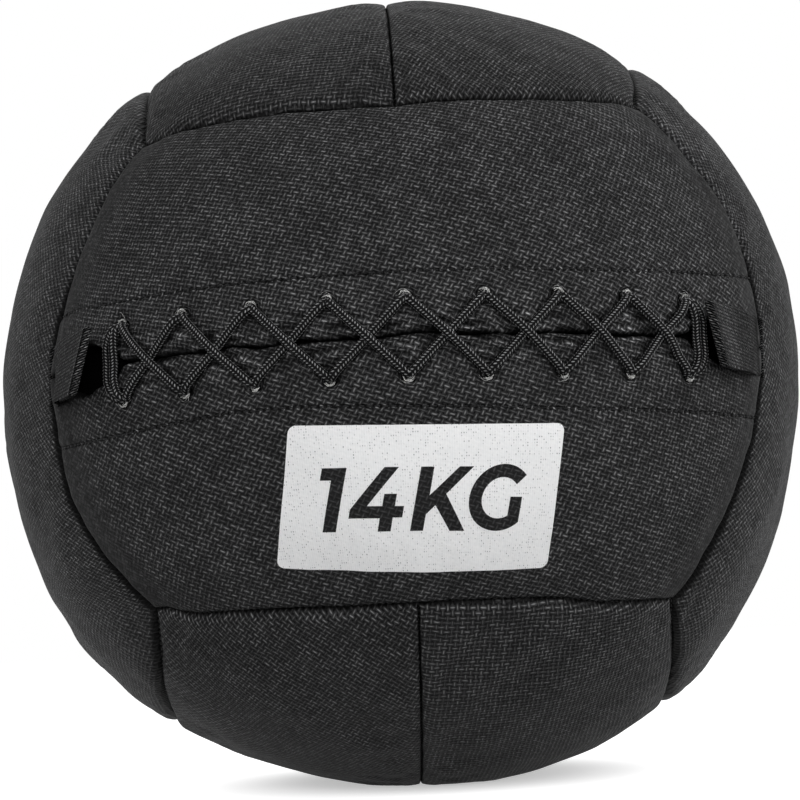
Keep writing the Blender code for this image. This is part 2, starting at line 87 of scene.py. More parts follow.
LACE_INNER_STRAND = 0.0030
WEBBING_WIDTH = 0.025
WEBBING_THICKNESS = 0.0015
LOOP_LENGTH = 0.050
LOOP_AXIS_HEIGHT = 0.0028
LEFT_LOOP_LIFT_DEG = 9
RIGHT_LOOP_LIFT_DEG = 3

# Cloth detail
GROOVE_DEPTH = 0.0024
GROOVE_REACH = 0.0009
TUCK_DEPTH = 0.0035
EDGE_STEP = 0.0003
FRONT_STEP = 0.0012
SIDE_STEP = 0.0021
STEP_GROWTH_SHARE = 0.22

CORNER_Y_SHARE = math.sqrt(1 - CORNER_X_SHARE**2 - CORNER_Z_SHARE**2)
CORNER_SHARES = (CORNER_X_SHARE, CORNER_Y_SHARE, CORNER_Z_SHARE)
SEAM_ANGLE = SEAM_GAP / 2 / BALL_RADIUS

# Each face: its outward axis and sign, the axis across its split, the axis along it, its halves
FACES = {
    "front": (1, -1, 2, 0, ("lower", "upper")),
    "back": (1, 1, 2, 0, ("lower", "upper")),
    "top": (2, 1, 0, 1, ("left", "right")),
    "bottom": (2, -1, 0, 1, ("left", "right")),
    "left": (0, -1, 1, 2, ("front", "back")),
    "right": (0, 1, 1, 2, ("front", "back")),
}


# The ball's form, as in the CAD source
def settled_radius(direction):
    """Radius of the settled ball along unit directions, without seams."""
    x, y, z = np.moveaxis(np.asarray(direction, float), -1, 0)
    square = x**4 - 6 * x**2 * z**2 + z**4
    oval = x**2 - z**2
    low = 3 * x**2 * z - z**3
    laced = np.maximum(0, -y) ** 4
    sag = SQUARE_SHARE * square - OVAL_SHARE * oval + SAG_SHARE * low
    return BALL_RADIUS * (1 - sag - LACED_FLAT_SHARE * laced)


CENTRE = np.array((0, 0, float(settled_radius((0, 0, -1))) - REST_FLAT_DEPTH))


def across_limit(face):
    """Angle across the split at which a face meets its neighbours."""
    return math.asin(CORNER_SHARES[FACES[face][2]])


def along_limit(face, across):
    """Angle along the split at which a face ends, at an angle across it."""
    return np.arccos(CORNER_SHARES[FACES[face][0]] / np.cos(across))


def slit_half_gap(face, along):
    """Half the angle between the two halves of a face, which only the laced slit widens."""
    half = np.full(np.shape(along), SEAM_GAP / 2)
    if face == "front":
        to_side = (along_limit(face, 0) - np.abs(along)) * BALL_RADIUS
        place = (to_side - GAPE_INSET) / GAPE_REACH
        half = SLIT_GAP / 2 + GAPE_HALF_HEIGHT * np.maximum(0, 1 - place**2) ** 2
    return half / BALL_RADIUS


def seam_distances(face, along, across):
    """Distances from a place to the split, the end and the side of its panel."""
    to_split = np.abs(across) - slit_half_gap(face, along)
    to_end = across_limit(face) - np.abs(across)
    to_side = (along_limit(face, across) - np.abs(along)) * np.cos(across)
    return [np.maximum(0, angle) * BALL_RADIUS for angle in (to_split, to_end, to_side)]


def seam_dip(face, along, across):
    """How far the skin is drawn in at a place by the seams around it."""
    free = 1
    for distance in seam_distances(face, along, across):
        free = free * (1 - np.exp(-distance / SEAM_REACH))
    return SEAM_DEPTH * (1 - free)


def face_direction(face, along, across):
    """Unit directions of places on a face."""
    outward_axis, sign, across_axis, along_axis, _ = FACES[face]
    along, across = np.broadcast_arrays(along, across)
    direction = np.zeros(along.shape + (3,))
    direction[..., outward_axis] = sign * np.cos(across) * np.cos(along)
    direction[..., across_axis] = np.sin(across)
    direction[..., along_axis] = np.cos(across) * np.sin(along)
    return direction


def skin_points(face, along, across, height=0):
    """Points of the CAD skin, or at a height over it."""
    direction = face_direction(face, along, across)
    radius = settled_radius(direction) - seam_dip(face, along, across) + height
    return CENTRE + direction * radius[..., None]


def front_points(places):
    """Points over the laced face from rows of arc, rise and height."""
    arc, rise, height = np.moveaxis(np.asarray(places, float), -1, 0)
    return skin_points("front", arc / BALL_RADIUS, rise / BALL_RADIUS, height)


def lining_points(along, across, depth, face):
    """Points of an inner layer of a face, a depth below the drawn-in seams."""
    direction = face_direction(face, along, across)
    return CENTRE + direction * (settled_radius(direction) - SEAM_DEPTH - depth)[..., None]


def unit(vectors):
    """Vectors along the last axis, made one long."""
    return vectors / (np.linalg.norm(vectors, axis=-1, keepdims=True) + 1e-12)


def bell(value, reach, power=2):
    """Bell curve: 1 where a value is zero and 1/e where it is its reach."""
    return np.exp(-np.abs(value / reach) ** power)


def read_table(table, place):
    """Value at a place from a table of places and values."""
    return np.interp(place, *np.array(table).T)


def lengths_along(path):
    """Length of a path up to each of its points."""
    return np.concatenate([[0], np.cumsum(np.linalg.norm(np.diff(path, axis=0), axis=1))])


def read_path(path, values, places):
    """Vectors at lengths along a path from those at its points."""
    lengths = lengths_along(path)
    return np.stack([np.interp(places, lengths, values[:, axis]) for axis in range(3)], axis=-1)


def eyelet_arcs():
    """Places of the eyelets along the slit."""
    return (np.arange(EYELET_COUNT) - (EYELET_COUNT - 1) / 2) * EYELET_PITCH


def eyelets():
    """Side of the slit, number, place along it, middle on the skin and outward way of each eyelet."""
    for side in (-1, 1):
        for number, arc in enumerate(eyelet_arcs(), start=1):
            centre = front_points([(arc, side * EYELET_RISE, 0)])[0]
            yield side, number, arc, centre, unit(centre - CENTRE)


def lace_route(first_side):
    """Route of one lace from left to right, as arc, rise and height over the skin.

    It follows the CAD route, but dips into each eyelet that it turns at.
    """
    arcs = eyelet_arcs()
    low = LACE_DIAMETER / 2 + LACE_CLEARANCE
    high = low + LACE_DIAMETER * LACE_SQUEEZE_SHARE
    route = list(lace_end(first_side, arcs[0], -1, low))
    side = first_side
    for index, arc in enumerate(arcs):
        if 0 < index < len(arcs) - 1:
            route.extend(lace_bend(arc, side, low))
        if index < len(arcs) - 1:
            route.append(((arc + arcs[index + 1]) / 2, 0, high if side > 0 else low))
        side = -side
    route.extend(reversed(lace_end(first_side, arcs[-1], 1, low)))
    return route


def lace_bend(arc, side, low):
    """Bend of a lace in an eyelet between two crossings."""
    return [(arc + across, side * rise, height) for across, rise, height in (
        (-LACE_FLANK, EYELET_RISE - LACE_FLANK, low),
        (-LACE_FLANK / 3, EYELET_RISE - LACE_FLANK / 3, LACE_DIP_START),
        (0, EYELET_RISE - LACE_TIP_INSET, -LACE_DIP),
        (LACE_FLANK / 3, EYELET_RISE - LACE_FLANK / 3, LACE_DIP_START),
        (LACE_FLANK, EYELET_RISE - LACE_FLANK, low),
    )]


def lace_end(first_side, arc, outward, low):
    """A lace's tucked end in one end eyelet, its strand beside the slit and its bend in the other."""
    turn = first_side
    outer = first_side > 0
    strand = arc + outward * (LACE_OUTER_STRAND if outer else LACE_INNER_STRAND)
    start = arc + outward * LACE_SPREAD * (1 if outer else 0)
    bend = arc - outward * LACE_SPREAD * (0 if outer else 1)
    places = (
        (start, -EYELET_RISE, -LACE_TUCK),
        (start, -EYELET_RISE + LACE_SPREAD / 2, -LACE_DIP),
        ((start + strand) / 2, -EYELET_RISE + LACE_DIAMETER * 0.7, low * 0.7),
        (strand, -EYELET_RISE / 2, low),
        (strand + outward * LACE_SPREAD / 2, 0, low),
        (strand, EYELET_RISE / 2, low),
        ((bend + strand) / 2, EYELET_RISE - LACE_DIAMETER * 0.6, low * 0.8),
        (bend, EYELET_RISE - LACE_SPREAD / 2, -LACE_DIP * 0.6),
        (bend - outward * LACE_FLANK * 0.6, EYELET_RISE - LACE_FLANK * 0.6, low * 0.8),
        (bend - outward * LACE_FLANK * 1.6, EYELET_RISE - LACE_FLANK * 1.7, low * (1.4 if outer else 1)),
    )
    return [(across, turn * rise, height) for across, rise, height in places]


def smooth_path(points, step):
    """Points an even step apart on a smooth curve through a path's points."""
    points = np.asarray(points, float)
    before = np.vstack([2 * points[:1] - points[1:2], points[:-2]])
    after = np.vstack([points[2:], 2 * points[-1:] - points[-2:-1]])
    part = np.linspace(0, 1, 24, endpoint=False)[:, None]
    dense = []
    for p0, p1, p2, p3 in zip(before, points[:-1], points[1:], after):
        square = (2 * p0 - 5 * p1 + 4 * p2 - p3) * part**2
        cubic = (3 * p1 - p0 - 3 * p2 + p3) * part**3
        dense.append((2 * p1 + (p2 - p0) * part + square + cubic) / 2)
    dense = np.vstack(dense + [points[-1:]])
    length = lengths_along(dense)[-1]
    return read_path(dense, dense, np.linspace(0, length, max(2, round(length / step) + 1)))


def waves(points, shortest, longest, seed, count=28):
    """Smooth random field from about -1 to 1 at points, with nothing random left unseeded."""
    rng = np.random.default_rng(seed)
    total = np.zeros(points.shape[:-1])
    for _ in range(count):
        way = rng.normal(size=points.shape[-1])
        way /= np.linalg.norm(way)
        length = shortest * (longest / shortest) ** rng.random()
        total += np.sin(points @ way * (math.tau / length) + rng.random() * math.tau)
    return total / math.sqrt(count / 2) / 2


def smooth_step(value, start, end):
    """Smooth step from 0 to 1 while a value goes from start to end."""
    part = np.clip((value - start) / (end - start), 0, 1)
    return part * part * (3 - 2 * part)


def show(name, data):
    """New object in the scene."""
    item = bpy.data.objects.new(name, data)
    bpy.context.scene.collection.objects.link(item)
    return item


def make_piece(name, points, faces, material, **attributes):
    """Smooth mesh object from arrays, with vector attributes that its material reads."""
    mesh = bpy.data.meshes.new(name)
    mesh.from_pydata(np.asarray(points).reshape(-1, 3).tolist(), [], [tuple(face) for face in faces])
    for key, values in attributes.items():
        layer = mesh.attributes.new(key, "FLOAT_VECTOR", "POINT")
        layer.data.foreach_set("vector", np.ascontiguousarray(values, np.float32).ravel())
    mesh.validate()
    mesh.shade_smooth()
    mesh.materials.append(material)
    return show(name, mesh)


def on_ball(piece, slot, *nodes):
    """Let a piece ride on the ball and stand for its CAD nodes, which it hides; its slot is not used."""
    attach(piece, "ball")
    if nodes:
        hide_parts(*nodes)
    return piece


def grid_faces(rows, columns, wrap=False):
    """Quads of a grid whose points lie row after row."""
    index = np.arange(rows * columns).reshape(rows, columns)
    if wrap:
        index = np.concatenate([index, index[:, :1]], axis=1)
    quads = [index[:-1, :-1], index[:-1, 1:], index[1:, 1:], index[1:, :-1]]
    return np.stack([quad.ravel() for quad in quads], axis=1)


def rings(first, second, angles):
    """Unit vectors round a line, from two that are square to it at each of its points."""
    return first[..., None, :] * np.cos(angles)[:, None] + second[..., None, :] * np.sin(angles)[:, None]


def thread_arrays(paths, normals, radii, sides, places, tones):
    """Vertices, faces and material places of many small round threads, one per path.

    Radii and places run along the paths, and each thread has a tone from 0 dark to 1 pale.
    """
    count, length = paths.shape[:2]
    tangents = unit(np.gradient(paths, axis=1))
    across = unit(np.cross(tangents, np.broadcast_to(normals, paths.shape)))
    angles = np.arange(sides) * math.tau / sides
    radii = np.broadcast_to(radii, (count, length))[..., None, None]
    vertices = paths[:, :, None] + rings(across, np.cross(across, tangents), angles) * radii
    firsts = np.arange(count) * length * sides
    faces = (grid_faces(length, sides, wrap=True) + firsts[:, None, None]).reshape(-1, 4).tolist()
    for first in firsts.tolist():
        last = first + (length - 1) * sides
        faces += [range(first + sides - 1, first - 1, -1), range(last, last + sides)]
    cloth = np.stack(np.broadcast_arrays(places[..., None], angles, tones[:, None, None]), axis=-1)
    return vertices.reshape(-1, 3), faces, cloth.reshape(-1, 3)


def join_arrays(blocks):
    """Put several vertex, face and attribute blocks into one."""
    starts = np.cumsum([0] + [len(block[0]) for block in blocks]).tolist()
    faces = [[corner + start for corner in face] for start, block in zip(starts, blocks) for face in block[1]]
    return np.vstack([block[0] for block in blocks]), faces, np.vstack([block[2] for block in blocks])


def outward_faces(points, faces):
    """Turn a patch's faces away from the ball's centre."""
    first, second, third = (points[faces[:, corner]] for corner in range(3))
    outward = (np.cross(second - first, third - second) * (first - CENTRE)).sum()
    return faces[:, ::-1] if outward < 0 else faces


def graded_places(length, step):
    """Places from 0 to 1 over a length, whose steps grow from both ends up to one step."""
    places = [0.0]
    while places[-1] < length / 2:
        places.append(places[-1] + min(step, EDGE_STEP + STEP_GROWTH_SHARE * places[-1]))
    half = np.array(places) * (length / 2) / places[-1]
    return np.concatenate([half, length - half[-2::-1]]) / length


class Value:
    """Output of a shader node, which adds math nodes under the usual operators."""

    def __init__(self, graph, socket):
        self.graph, self.socket = graph, socket

    def math(self, operation, *values):
        return self.graph.math(operation, self, *values)

    def __add__(self, other):
        return self.math("ADD", other)

    def __sub__(self, other):
        return self.math("SUBTRACT", other)

    def __rsub__(self, other):
        return self.graph.math("SUBTRACT", other, self)

    def __mul__(self, other):
        return self.math("MULTIPLY", other)

    def __pow__(self, other):
        return self.math("POWER", other)

    def __abs__(self):
        return self.math("ABSOLUTE")

    def scaled(self, low, high):
        """Value from 0 to 1 turned into one from low to high."""
        return self.math("MULTIPLY_ADD", high - low, low)

    def stepped(self, start, end, low=0.0, high=1.0):
        """Smooth step from low to high while the value goes from start to end."""
        inputs = {"Value": self, "From Min": start, "From Max": end, "To Min": low, "To Max": high}
        return self.graph.add("MapRange", inputs, interpolation_type="SMOOTHSTEP")


class Graph:
    """Nodes of one material or world, and short ways to add to them."""

    def __init__(self, name, group=bpy.data.materials):
        self.owner = group.new(name)
        self.owner.use_nodes = True
        self.tree = self.owner.node_tree

    def put(self, value, socket):
        """Set a socket, or link it to another node's output."""
        if isinstance(value, Value):
            self.tree.links.new(value.socket, socket)
        else:
            socket.default_value = (*value, 1) if socket.type == "RGBA" else value

    def add(self, kind, inputs, output=0, **settings):
        """Output of a new node with its settings and its inputs by name or number."""
        node = self.tree.nodes.new("ShaderNode" + kind)
        for key, value in settings.items():
            setattr(node, key, value)
        for key, value in inputs.items():
            self.put(value, node.inputs[key])
        return Value(self, node.outputs[output])

    def math(self, operation, *values):
        return self.add("Math", dict(enumerate(values)), operation=operation)

    def attribute(self, name):
        return self.add("Attribute", {}, "Vector", attribute_name=name)

    def parts(self, vector):
        first = self.add("SeparateXYZ", {0: vector})
        return [Value(self, socket) for socket in first.socket.node.outputs]

    def vector(self, x, y, z=0.0):
        return self.add("CombineXYZ", {0: x, 1: y, 2: z})

    def noise(self, vector, size, detail=2.0, roughness=0.5):
        """Noise from 0 to 1 whose blobs have about one size in metres."""
        inputs = {"Vector": vector, "Scale": 1 / size, "Detail": detail, "Roughness": roughness}
        return self.add("TexNoise", inputs)

    def chance(self, vector):
        """One random value for each whole-numbered vector."""
        return self.add("TexWhiteNoise", {"Vector": vector}, "Value")

    def mix(self, factor, first, second):
        return self.add("Mix", {0: factor, 6: first, 7: second}, 2, data_type="RGBA")

    def shade(self, colour, amount):
        """Colour made darker or lighter by a value."""
        return self.add("VectorMath", {0: colour, "Scale": amount}, operation="SCALE")

    def bump(self, height, distance, strength=1.0, normal=None):
        inputs = {"Distance": distance, "Strength": strength, "Height": height}
        if normal:
            inputs["Normal"] = normal
        return self.add("Bump", inputs)

    def camera_white(self):
        """Mix factor that is 1 for camera, glossy and transmission rays."""
        rays = self.add("LightPath", {}).socket.node.outputs
        camera, glossy, through = (Value(self, rays[f"Is {word} Ray"])
                                   for word in ("Camera", "Glossy", "Transmission"))
        return camera.math("MAXIMUM", glossy).math("MAXIMUM", through)

    def finish(self, colour, roughness, normal=None, **plain):
        """The material, with its main shader's sockets set."""
        shader = self.tree.nodes["Principled BSDF"]
        self.put(colour, shader.inputs["Base Color"])
        self.put(roughness, shader.inputs["Roughness"])
        if normal:
            self.put(normal, shader.inputs["Normal"])
        for key, value in plain.items():
            shader.inputs[key.replace("_", " ")].default_value = value
        return self.owner


WEAVE_PITCH = 0.00195
WEAVE_WANDER = 0.0007
DRIFT_SIZE = 0.011
WEFT_SWING = 0.22
WARP_SWING = 0.26
YARN_ROUNDING = 1.15


def woven(graph, place, pitch_u=WEAVE_PITCH, pitch_v=WEAVE_PITCH, wander=WEAVE_WANDER):
    """Height from 0 to 1 of a plain weave, where its weft lies on top, and a number for each float."""
    u, v, _ = graph.parts(place)
    drift = graph.noise(place, DRIFT_SIZE).scaled(-wander, wander)
    x, y = (u + drift) * (1 / pitch_u), (v - drift) * (1 / pitch_v)
    column, row = x.math("FLOOR"), y.math("FLOOR")
    weft = yarn_height(y, x + row, WEFT_SWING)
    warp = yarn_height(x, y + column + 1.0, WARP_SWING)
    over = weft.math("GREATER_THAN", warp)
    return weft.math("MAXIMUM", warp), over, graph.vector(column, row, over)


def yarn_height(across, along, swing):
    """Height of one set of yarns: round across each yarn, rising and sinking along it."""
    bend = abs((across.math("FRACT") - 0.5) * 2.0) ** YARN_ROUNDING
    wave = ((along - 0.5) * math.pi).math("COSINE")
    return (1.0 - bend) * wave.math("MULTIPLY_ADD", swing / (1 + swing), 1 / (1 + swing))


HEM_STITCH_PITCH = 0.0029
HEM_STITCH_HALF = (0.0003, 0.0009)
PUCKER_PITCH = 0.0021
PUCKER_INSET = 0.0028
PUCKER_WIDTH = 0.0006
# Colours of the cover cloth: painted shade in the gaps between yarns, the cloth's own black on the yarns'
# sides, painted highlights on their crests, and the flat painted shade by the side seams
COVER_GAP_SHADE = (0.0010, 0.0010, 0.0011)
COVER_WARP_SIDE = (0.021, 0.021, 0.0215)
COVER_WEFT_SIDE = (0.025, 0.025, 0.0255)
COVER_WARP_HIGHLIGHT = (0.118, 0.118, 0.119)
COVER_WEFT_HIGHLIGHT = (0.146, 0.146, 0.148)
COVER_SEAMSIDE_SHADE = (0.020, 0.020, 0.0203)


def cover_material():
    """Black coated woven cloth, with needle puckers along its seams, painted highlights on its yarns and
    puckers, and painted shade in its gaps, folds and hem stitch lines.
    """
    graph = Graph("cover_cloth")
    place = graph.attribute("cloth")
    height, over, cells = woven(graph, graph.attribute("weave"))
    u, v, _ = graph.parts(place)
    split, end, side = graph.parts(graph.attribute("edge"))
    pucker = 0.0
    for distance, along in ((split, u), (end, u), (side, v)):
        off = (distance - PUCKER_INSET) * (1 / PUCKER_WIDTH)
        ripple = (along * (math.tau / PUCKER_PITCH)).math("SINE")
        pucker = graph.math("POWER", 0.3, off * off).math("MULTIPLY_ADD", ripple, pucker)
    patch = graph.noise(place, 0.030, 3.0).stepped(0.25, 0.75, 0.82, 1.18)
    tone = (graph.chance(cells) ** 1.5).scaled(0.50, 1.75) * patch
    # Painted highlight on the crests of the needle puckers
    tone = pucker.math("MAXIMUM", 0.0).math("MULTIPLY_ADD", 0.7, tone)
    # The panel's painted shade and light, the distance to a hem stitch line, and the share of painted shade
    # by the side seams
    shade, hem, wear_and_shade = graph.parts(graph.attribute("shade"))
    # On each hem stitch line: painted shade in the crease at the stitches, painted highlight on the cloth
    # bulging between them
    hem = abs(hem).stepped(*HEM_STITCH_HALF, 1.0, 0.0)
    dash = (u * (math.tau / HEM_STITCH_PITCH)).math("SINE").stepped(-0.8, 0.2, 1.1, -0.9)
    tone = tone * hem.math("MULTIPLY_ADD", dash, shade)
    yarn = graph.mix(over, COVER_WARP_SIDE, COVER_WEFT_SIDE)
    # By the weave's height: painted shade in the gaps, the cloth's own colour on the yarns' sides, painted
    # highlights on their crests
    yarn = graph.mix(height.stepped(0.10, 0.50), COVER_GAP_SHADE, yarn)
    colour = graph.mix(height.stepped(0.66, 0.97), yarn, graph.mix(over, COVER_WARP_HIGHLIGHT, COVER_WEFT_HIGHLIGHT))
    # Towards the side seams the weave and its painted highlights give way to one flat dark colour: painted
    # shade
    colour = graph.mix(wear_and_shade, colour, COVER_SEAMSIDE_SHADE)
    normal = graph.bump(graph.noise(place, 0.0004), 0.00006, 0.5)
    normal = graph.bump(height * (1.0 - wear_and_shade), 0.00055, 1.0, normal)
    normal = graph.bump(pucker, 0.00010, 1.0, normal)
    normal = graph.bump(1.0 - hem, 0.0003, 1.0, normal)
    roughness = graph.noise(place, 0.008).scaled(0.54, 0.66)
    return graph.finish(graph.shade(colour, tone), roughness, normal, Specular_IOR_Level=0.045)


THREAD_TWIST = 0.0006


def thread_material(name, dark, light, roughness):
    """Sewing thread with its twist, each stitch between dark and light by its own tone."""
    graph = Graph(name)
    place = graph.attribute("cloth")
    u, v, tone = graph.parts(place)
    rope = u.math("MULTIPLY_ADD", math.tau / THREAD_TWIST, v).math("SINE")
    # Thread painted lighter on its twist's ridges and darker in its grooves: painted highlight and shade
    colour = graph.shade(graph.mix(tone, dark, light), rope.scaled(0.85, 1.15))
    rough = graph.noise(place, 0.001).scaled(roughness - 0.08, roughness + 0.08)
    return graph.finish(colour, rough, graph.bump(rope, 0.00005, 0.8), Specular_IOR_Level=0.12)


LACE_FILAMENT_PITCH = 0.00028
LACE_BASE = (0.0070, 0.0070, 0.0072)
LACE_HIGHLIGHTS = ((0.13, 0.13, 0.132), (0.56, 0.56, 0.565))


def lace_material():
    """Black round cord: its herringbone is in the mesh, its filaments are in the bump, and the herringbone's
    raised crests carry painted highlights.
    """
    graph = Graph("lace_braid")
    place = graph.attribute("cloth")
    u, v, lift = graph.parts(place)
    filament = ((u + v) * (math.tau / LACE_FILAMENT_PITCH)).math("SINE")
    speck = graph.noise(place, 0.0022).stepped(0.3, 0.7)
    # Raised braid crests carry painted highlights of varied strength; the rest is the cord's own black
    colour = graph.mix(lift.stepped(0.62, 0.96), LACE_BASE, graph.mix(speck, *LACE_HIGHLIGHTS))
    normal = graph.bump(filament, 0.00003, 0.6)
    return graph.finish(colour, speck.scaled(0.40, 0.52), normal, Specular_IOR_Level=0.03)


WEBBING_SLANT_DEG = -35
WEBBING_PITCHES = (0.00130, 0.00080)
WEBBING_BASE = (0.003, 0.003, 0.0032)
WEBBING_HIGHLIGHTS = ((0.050, 0.050, 0.051), (0.300, 0.300, 0.303))


def webbing_material():
    """Black polyester webbing: fine ribs that run aslant, with painted highlights on their crests and each
    strap's painted light and shade.
    """
    graph = Graph("webbing_weave")
    place = graph.attribute("cloth")
    u, v, _ = graph.parts(place)
    east, north = (turn(math.radians(WEBBING_SLANT_DEG)) for turn in (math.cos, math.sin))
    slanted = graph.vector(u * east - v * north, u * north + v * east)
    height, over, cells = woven(graph, slanted, *WEBBING_PITCHES, 0.00010)
    # Random tone per cell, times each strap's painted light and shade
    tone = graph.chance(cells).scaled(0.35, 1.65) * graph.parts(graph.attribute("shade"))[0]
    # Rib crests carry painted highlights
    colour = graph.mix(height.stepped(0.52, 0.92), WEBBING_BASE, graph.mix(over, *WEBBING_HIGHLIGHTS))
    roughness = graph.noise(place, 0.004).scaled(0.46, 0.60)
    normal = graph.bump(height, 0.00030)
    return graph.finish(graph.shade(colour, tone), roughness, normal, Specular_IOR_Level=0.01)


LABEL_COLUMN = 0.00090
LABEL_DOT = 0.00105
LABEL_WHITES = ((0.96, 0.965, 0.97), (1.0, 1.0, 1.0))
LABEL_HOLE = (0.26, 0.26, 0.27)
INK_TONES = ((0.007, 0.007, 0.0072), (0.045, 0.045, 0.046))


def label_material():
    """White print on the cloth, in fine columns, with pinholes where the weave dips."""
    graph = Graph("label_print")
    place = graph.attribute("cloth")
    u, v, _ = graph.parts(place)
    height, _, cells = woven(graph, graph.attribute("weave"))
    # Wear of the print, which sets the strength of its pinholes and its roughness
    wear_and_shade = graph.noise(place, 0.0016, 3.0, 0.65)
    x, y = u.math("DIVIDE", LABEL_COLUMN), v.math("DIVIDE", LABEL_DOT)
    cell = graph.vector(x.math("FLOOR"), y.math("FLOOR"))
    aside = x.math("FRACT") - 0.5
    above = y.math("FRACT") - graph.chance(cell).scaled(0.3, 0.7)
    hole = (aside * aside + above * above).math("SQRT").stepped(0.10, 0.36, 1.0, 0.0)
    strength = (graph.chance(cell) * wear_and_shade.scaled(0.4, 1.5)).stepped(0.58, 1.1)
    white = graph.mix(graph.chance(cells), *LABEL_WHITES)
    white = graph.shade(white, abs(aside).stepped(0.0, 0.3, 0.95, 1.0))
    colour = graph.mix(hole * strength, white, LABEL_HOLE)
    normal = graph.bump(height, 0.00008, 0.8)
    return graph.finish(colour, wear_and_shade.scaled(0.48, 0.62), normal, Specular_IOR_Level=0.2)


def ink_material():
    """Black figure printed on the label."""
    graph = Graph("figure_ink")
    height, _, cells = woven(graph, graph.attribute("weave"))
    # The ink painted lighter on the weave's crests: painted highlight
    colour = graph.mix(height.stepped(0.55, 0.98), *INK_TONES)
    colour = graph.shade(colour, graph.chance(cells).scaled(0.6, 1.4))
    roughness = graph.noise(graph.attribute("cloth"), 0.004).scaled(0.48, 0.6)
    return graph.finish(colour, roughness, graph.bump(height, 0.00035), Specular_IOR_Level=0.08)


def plain_cloth_material(name, dark, light, pitch, roughness, gloss=0.25):
    """Plain woven cloth of one colour, by the piece's own place, painted lighter on its yarns' crests as
    painted highlight and darker in its gaps as painted shade.
    """
    graph = Graph(name)
    place = graph.attribute("cloth")
    height, _, cells = woven(graph, place, pitch, pitch, pitch / 5)
    colour = graph.mix(height.stepped(0.1, 0.9), dark, light)
    colour = graph.shade(colour, graph.chance(cells).scaled(0.8, 1.2))
    rough = graph.noise(place, 0.01).scaled(roughness - 0.06, roughness + 0.06)
    return graph.finish(colour, rough, graph.bump(height, pitch / 5, 0.9), Specular_IOR_Level=gloss)


def fibre_material():
    """Loose white wadding fibre."""
    graph = Graph("wadding_fibre")
    place = graph.attribute("cloth")
    strands = graph.noise(place, 0.0012, 4.0, 0.7)
    colour = graph.mix(graph.noise(place, 0.014, 3.0), (0.62, 0.61, 0.58), (0.80, 0.79, 0.76))
    colour = graph.shade(colour, strands.scaled(0.8, 1.15))
    normal = graph.bump(strands, 0.0012, 0.9)
    return graph.finish(colour, strands.scaled(0.86, 0.98), normal, Specular_IOR_Level=0.2)


SAND_GRAIN = 0.0016


def sand_material():
    """Coarse dark iron sand."""
    graph = Graph("sand_grain")
    inputs = {"Vector": graph.attribute("cloth"), "Scale": 1 / SAND_GRAIN}
    distance = graph.add("TexVoronoi", inputs, "Distance")
    place = Value(graph, distance.socket.node.outputs["Position"])
    colour = graph.mix(graph.chance(place), (0.035, 0.033, 0.032), (0.13, 0.12, 0.115))
    grain = 1.0 - distance
    return graph.finish(colour, grain.scaled(0.42, 0.7), graph.bump(grain, 0.0007), Metallic=0.35)


CAMERA_DISTANCE = 0.849
CAMERA_ELEVATION_DEG = -7.0
CAMERA_YAW_DEG = -1.0
CAMERA_ROLL_DEG = 2.7
CAMERA_LENS = 84.76
CAMERA_SHIFT_RIGHT = 0.001
CAMERA_SHIFT_UP = 0.0027


def add_camera():
    """Camera at the photograph's viewing angle, slightly below the ball's middle and rolled."""
    data = bpy.data.cameras.new("camera")
    data.lens = CAMERA_LENS
    camera = show("camera", data)
    yaw, rise = math.radians(CAMERA_YAW_DEG), math.radians(CAMERA_ELEVATION_DEG)
    away = Vector((math.sin(yaw) * math.cos(rise), -math.cos(yaw) * math.cos(rise), math.sin(rise)))
    forward = -away
    right = forward.cross(Vector((0, 0, 1))).normalized()
    up = right.cross(forward)
    forward = (forward - right * CAMERA_SHIFT_RIGHT - up * CAMERA_SHIFT_UP).normalized()
    right = forward.cross(Vector((0, 0, 1))).normalized()
    turn = Matrix.Rotation(math.radians(CAMERA_ROLL_DEG), 3, forward)
    matrix = Matrix((turn @ right, turn @ right.cross(forward), -forward)).transposed().to_4x4()
    matrix.translation = Vector(CENTRE) + away * CAMERA_DISTANCE
    camera.matrix_world = matrix
    bpy.context.scene.camera = camera


# Place, width and power of each lamp
LAMPS = {
    "top_lamp": ((0.10, 0.60, 1.35), 1.2, 2.2),
    "right_lamp": ((1.5, -0.6, 0.65), 1.1, 9.5),
    "left_lamp": ((-1.5, -0.8, 0.5), 1.1, 4.5),
    "front_lamp": ((0.15, -1.9, 0.15), 1.0, 27),
}
LAMP_TARGET = (0, 0, 0.17)
WORLD_LIGHT = (0.27, 0.27, 0.275)
FLOOR_REACH = 6.0
FLOOR_DROP = 0.0004
FLOOR_SEEN = (0.80, 0.80, 0.80)
FLOOR_BOUNCE = (0.12, 0.12, 0.12)
# The floor's glow for the camera: weaker near the ball, a painted shadow round the real one, and white
# farther off
FLOOR_GLOW_NEAR = 0.46
FLOOR_GLOW_FAR = 1.0
FLOOR_GLOW_REACH = (0.05, 0.125)
FLOOR_GLOW_CENTRE = (0.010, 0.02, 0.0)


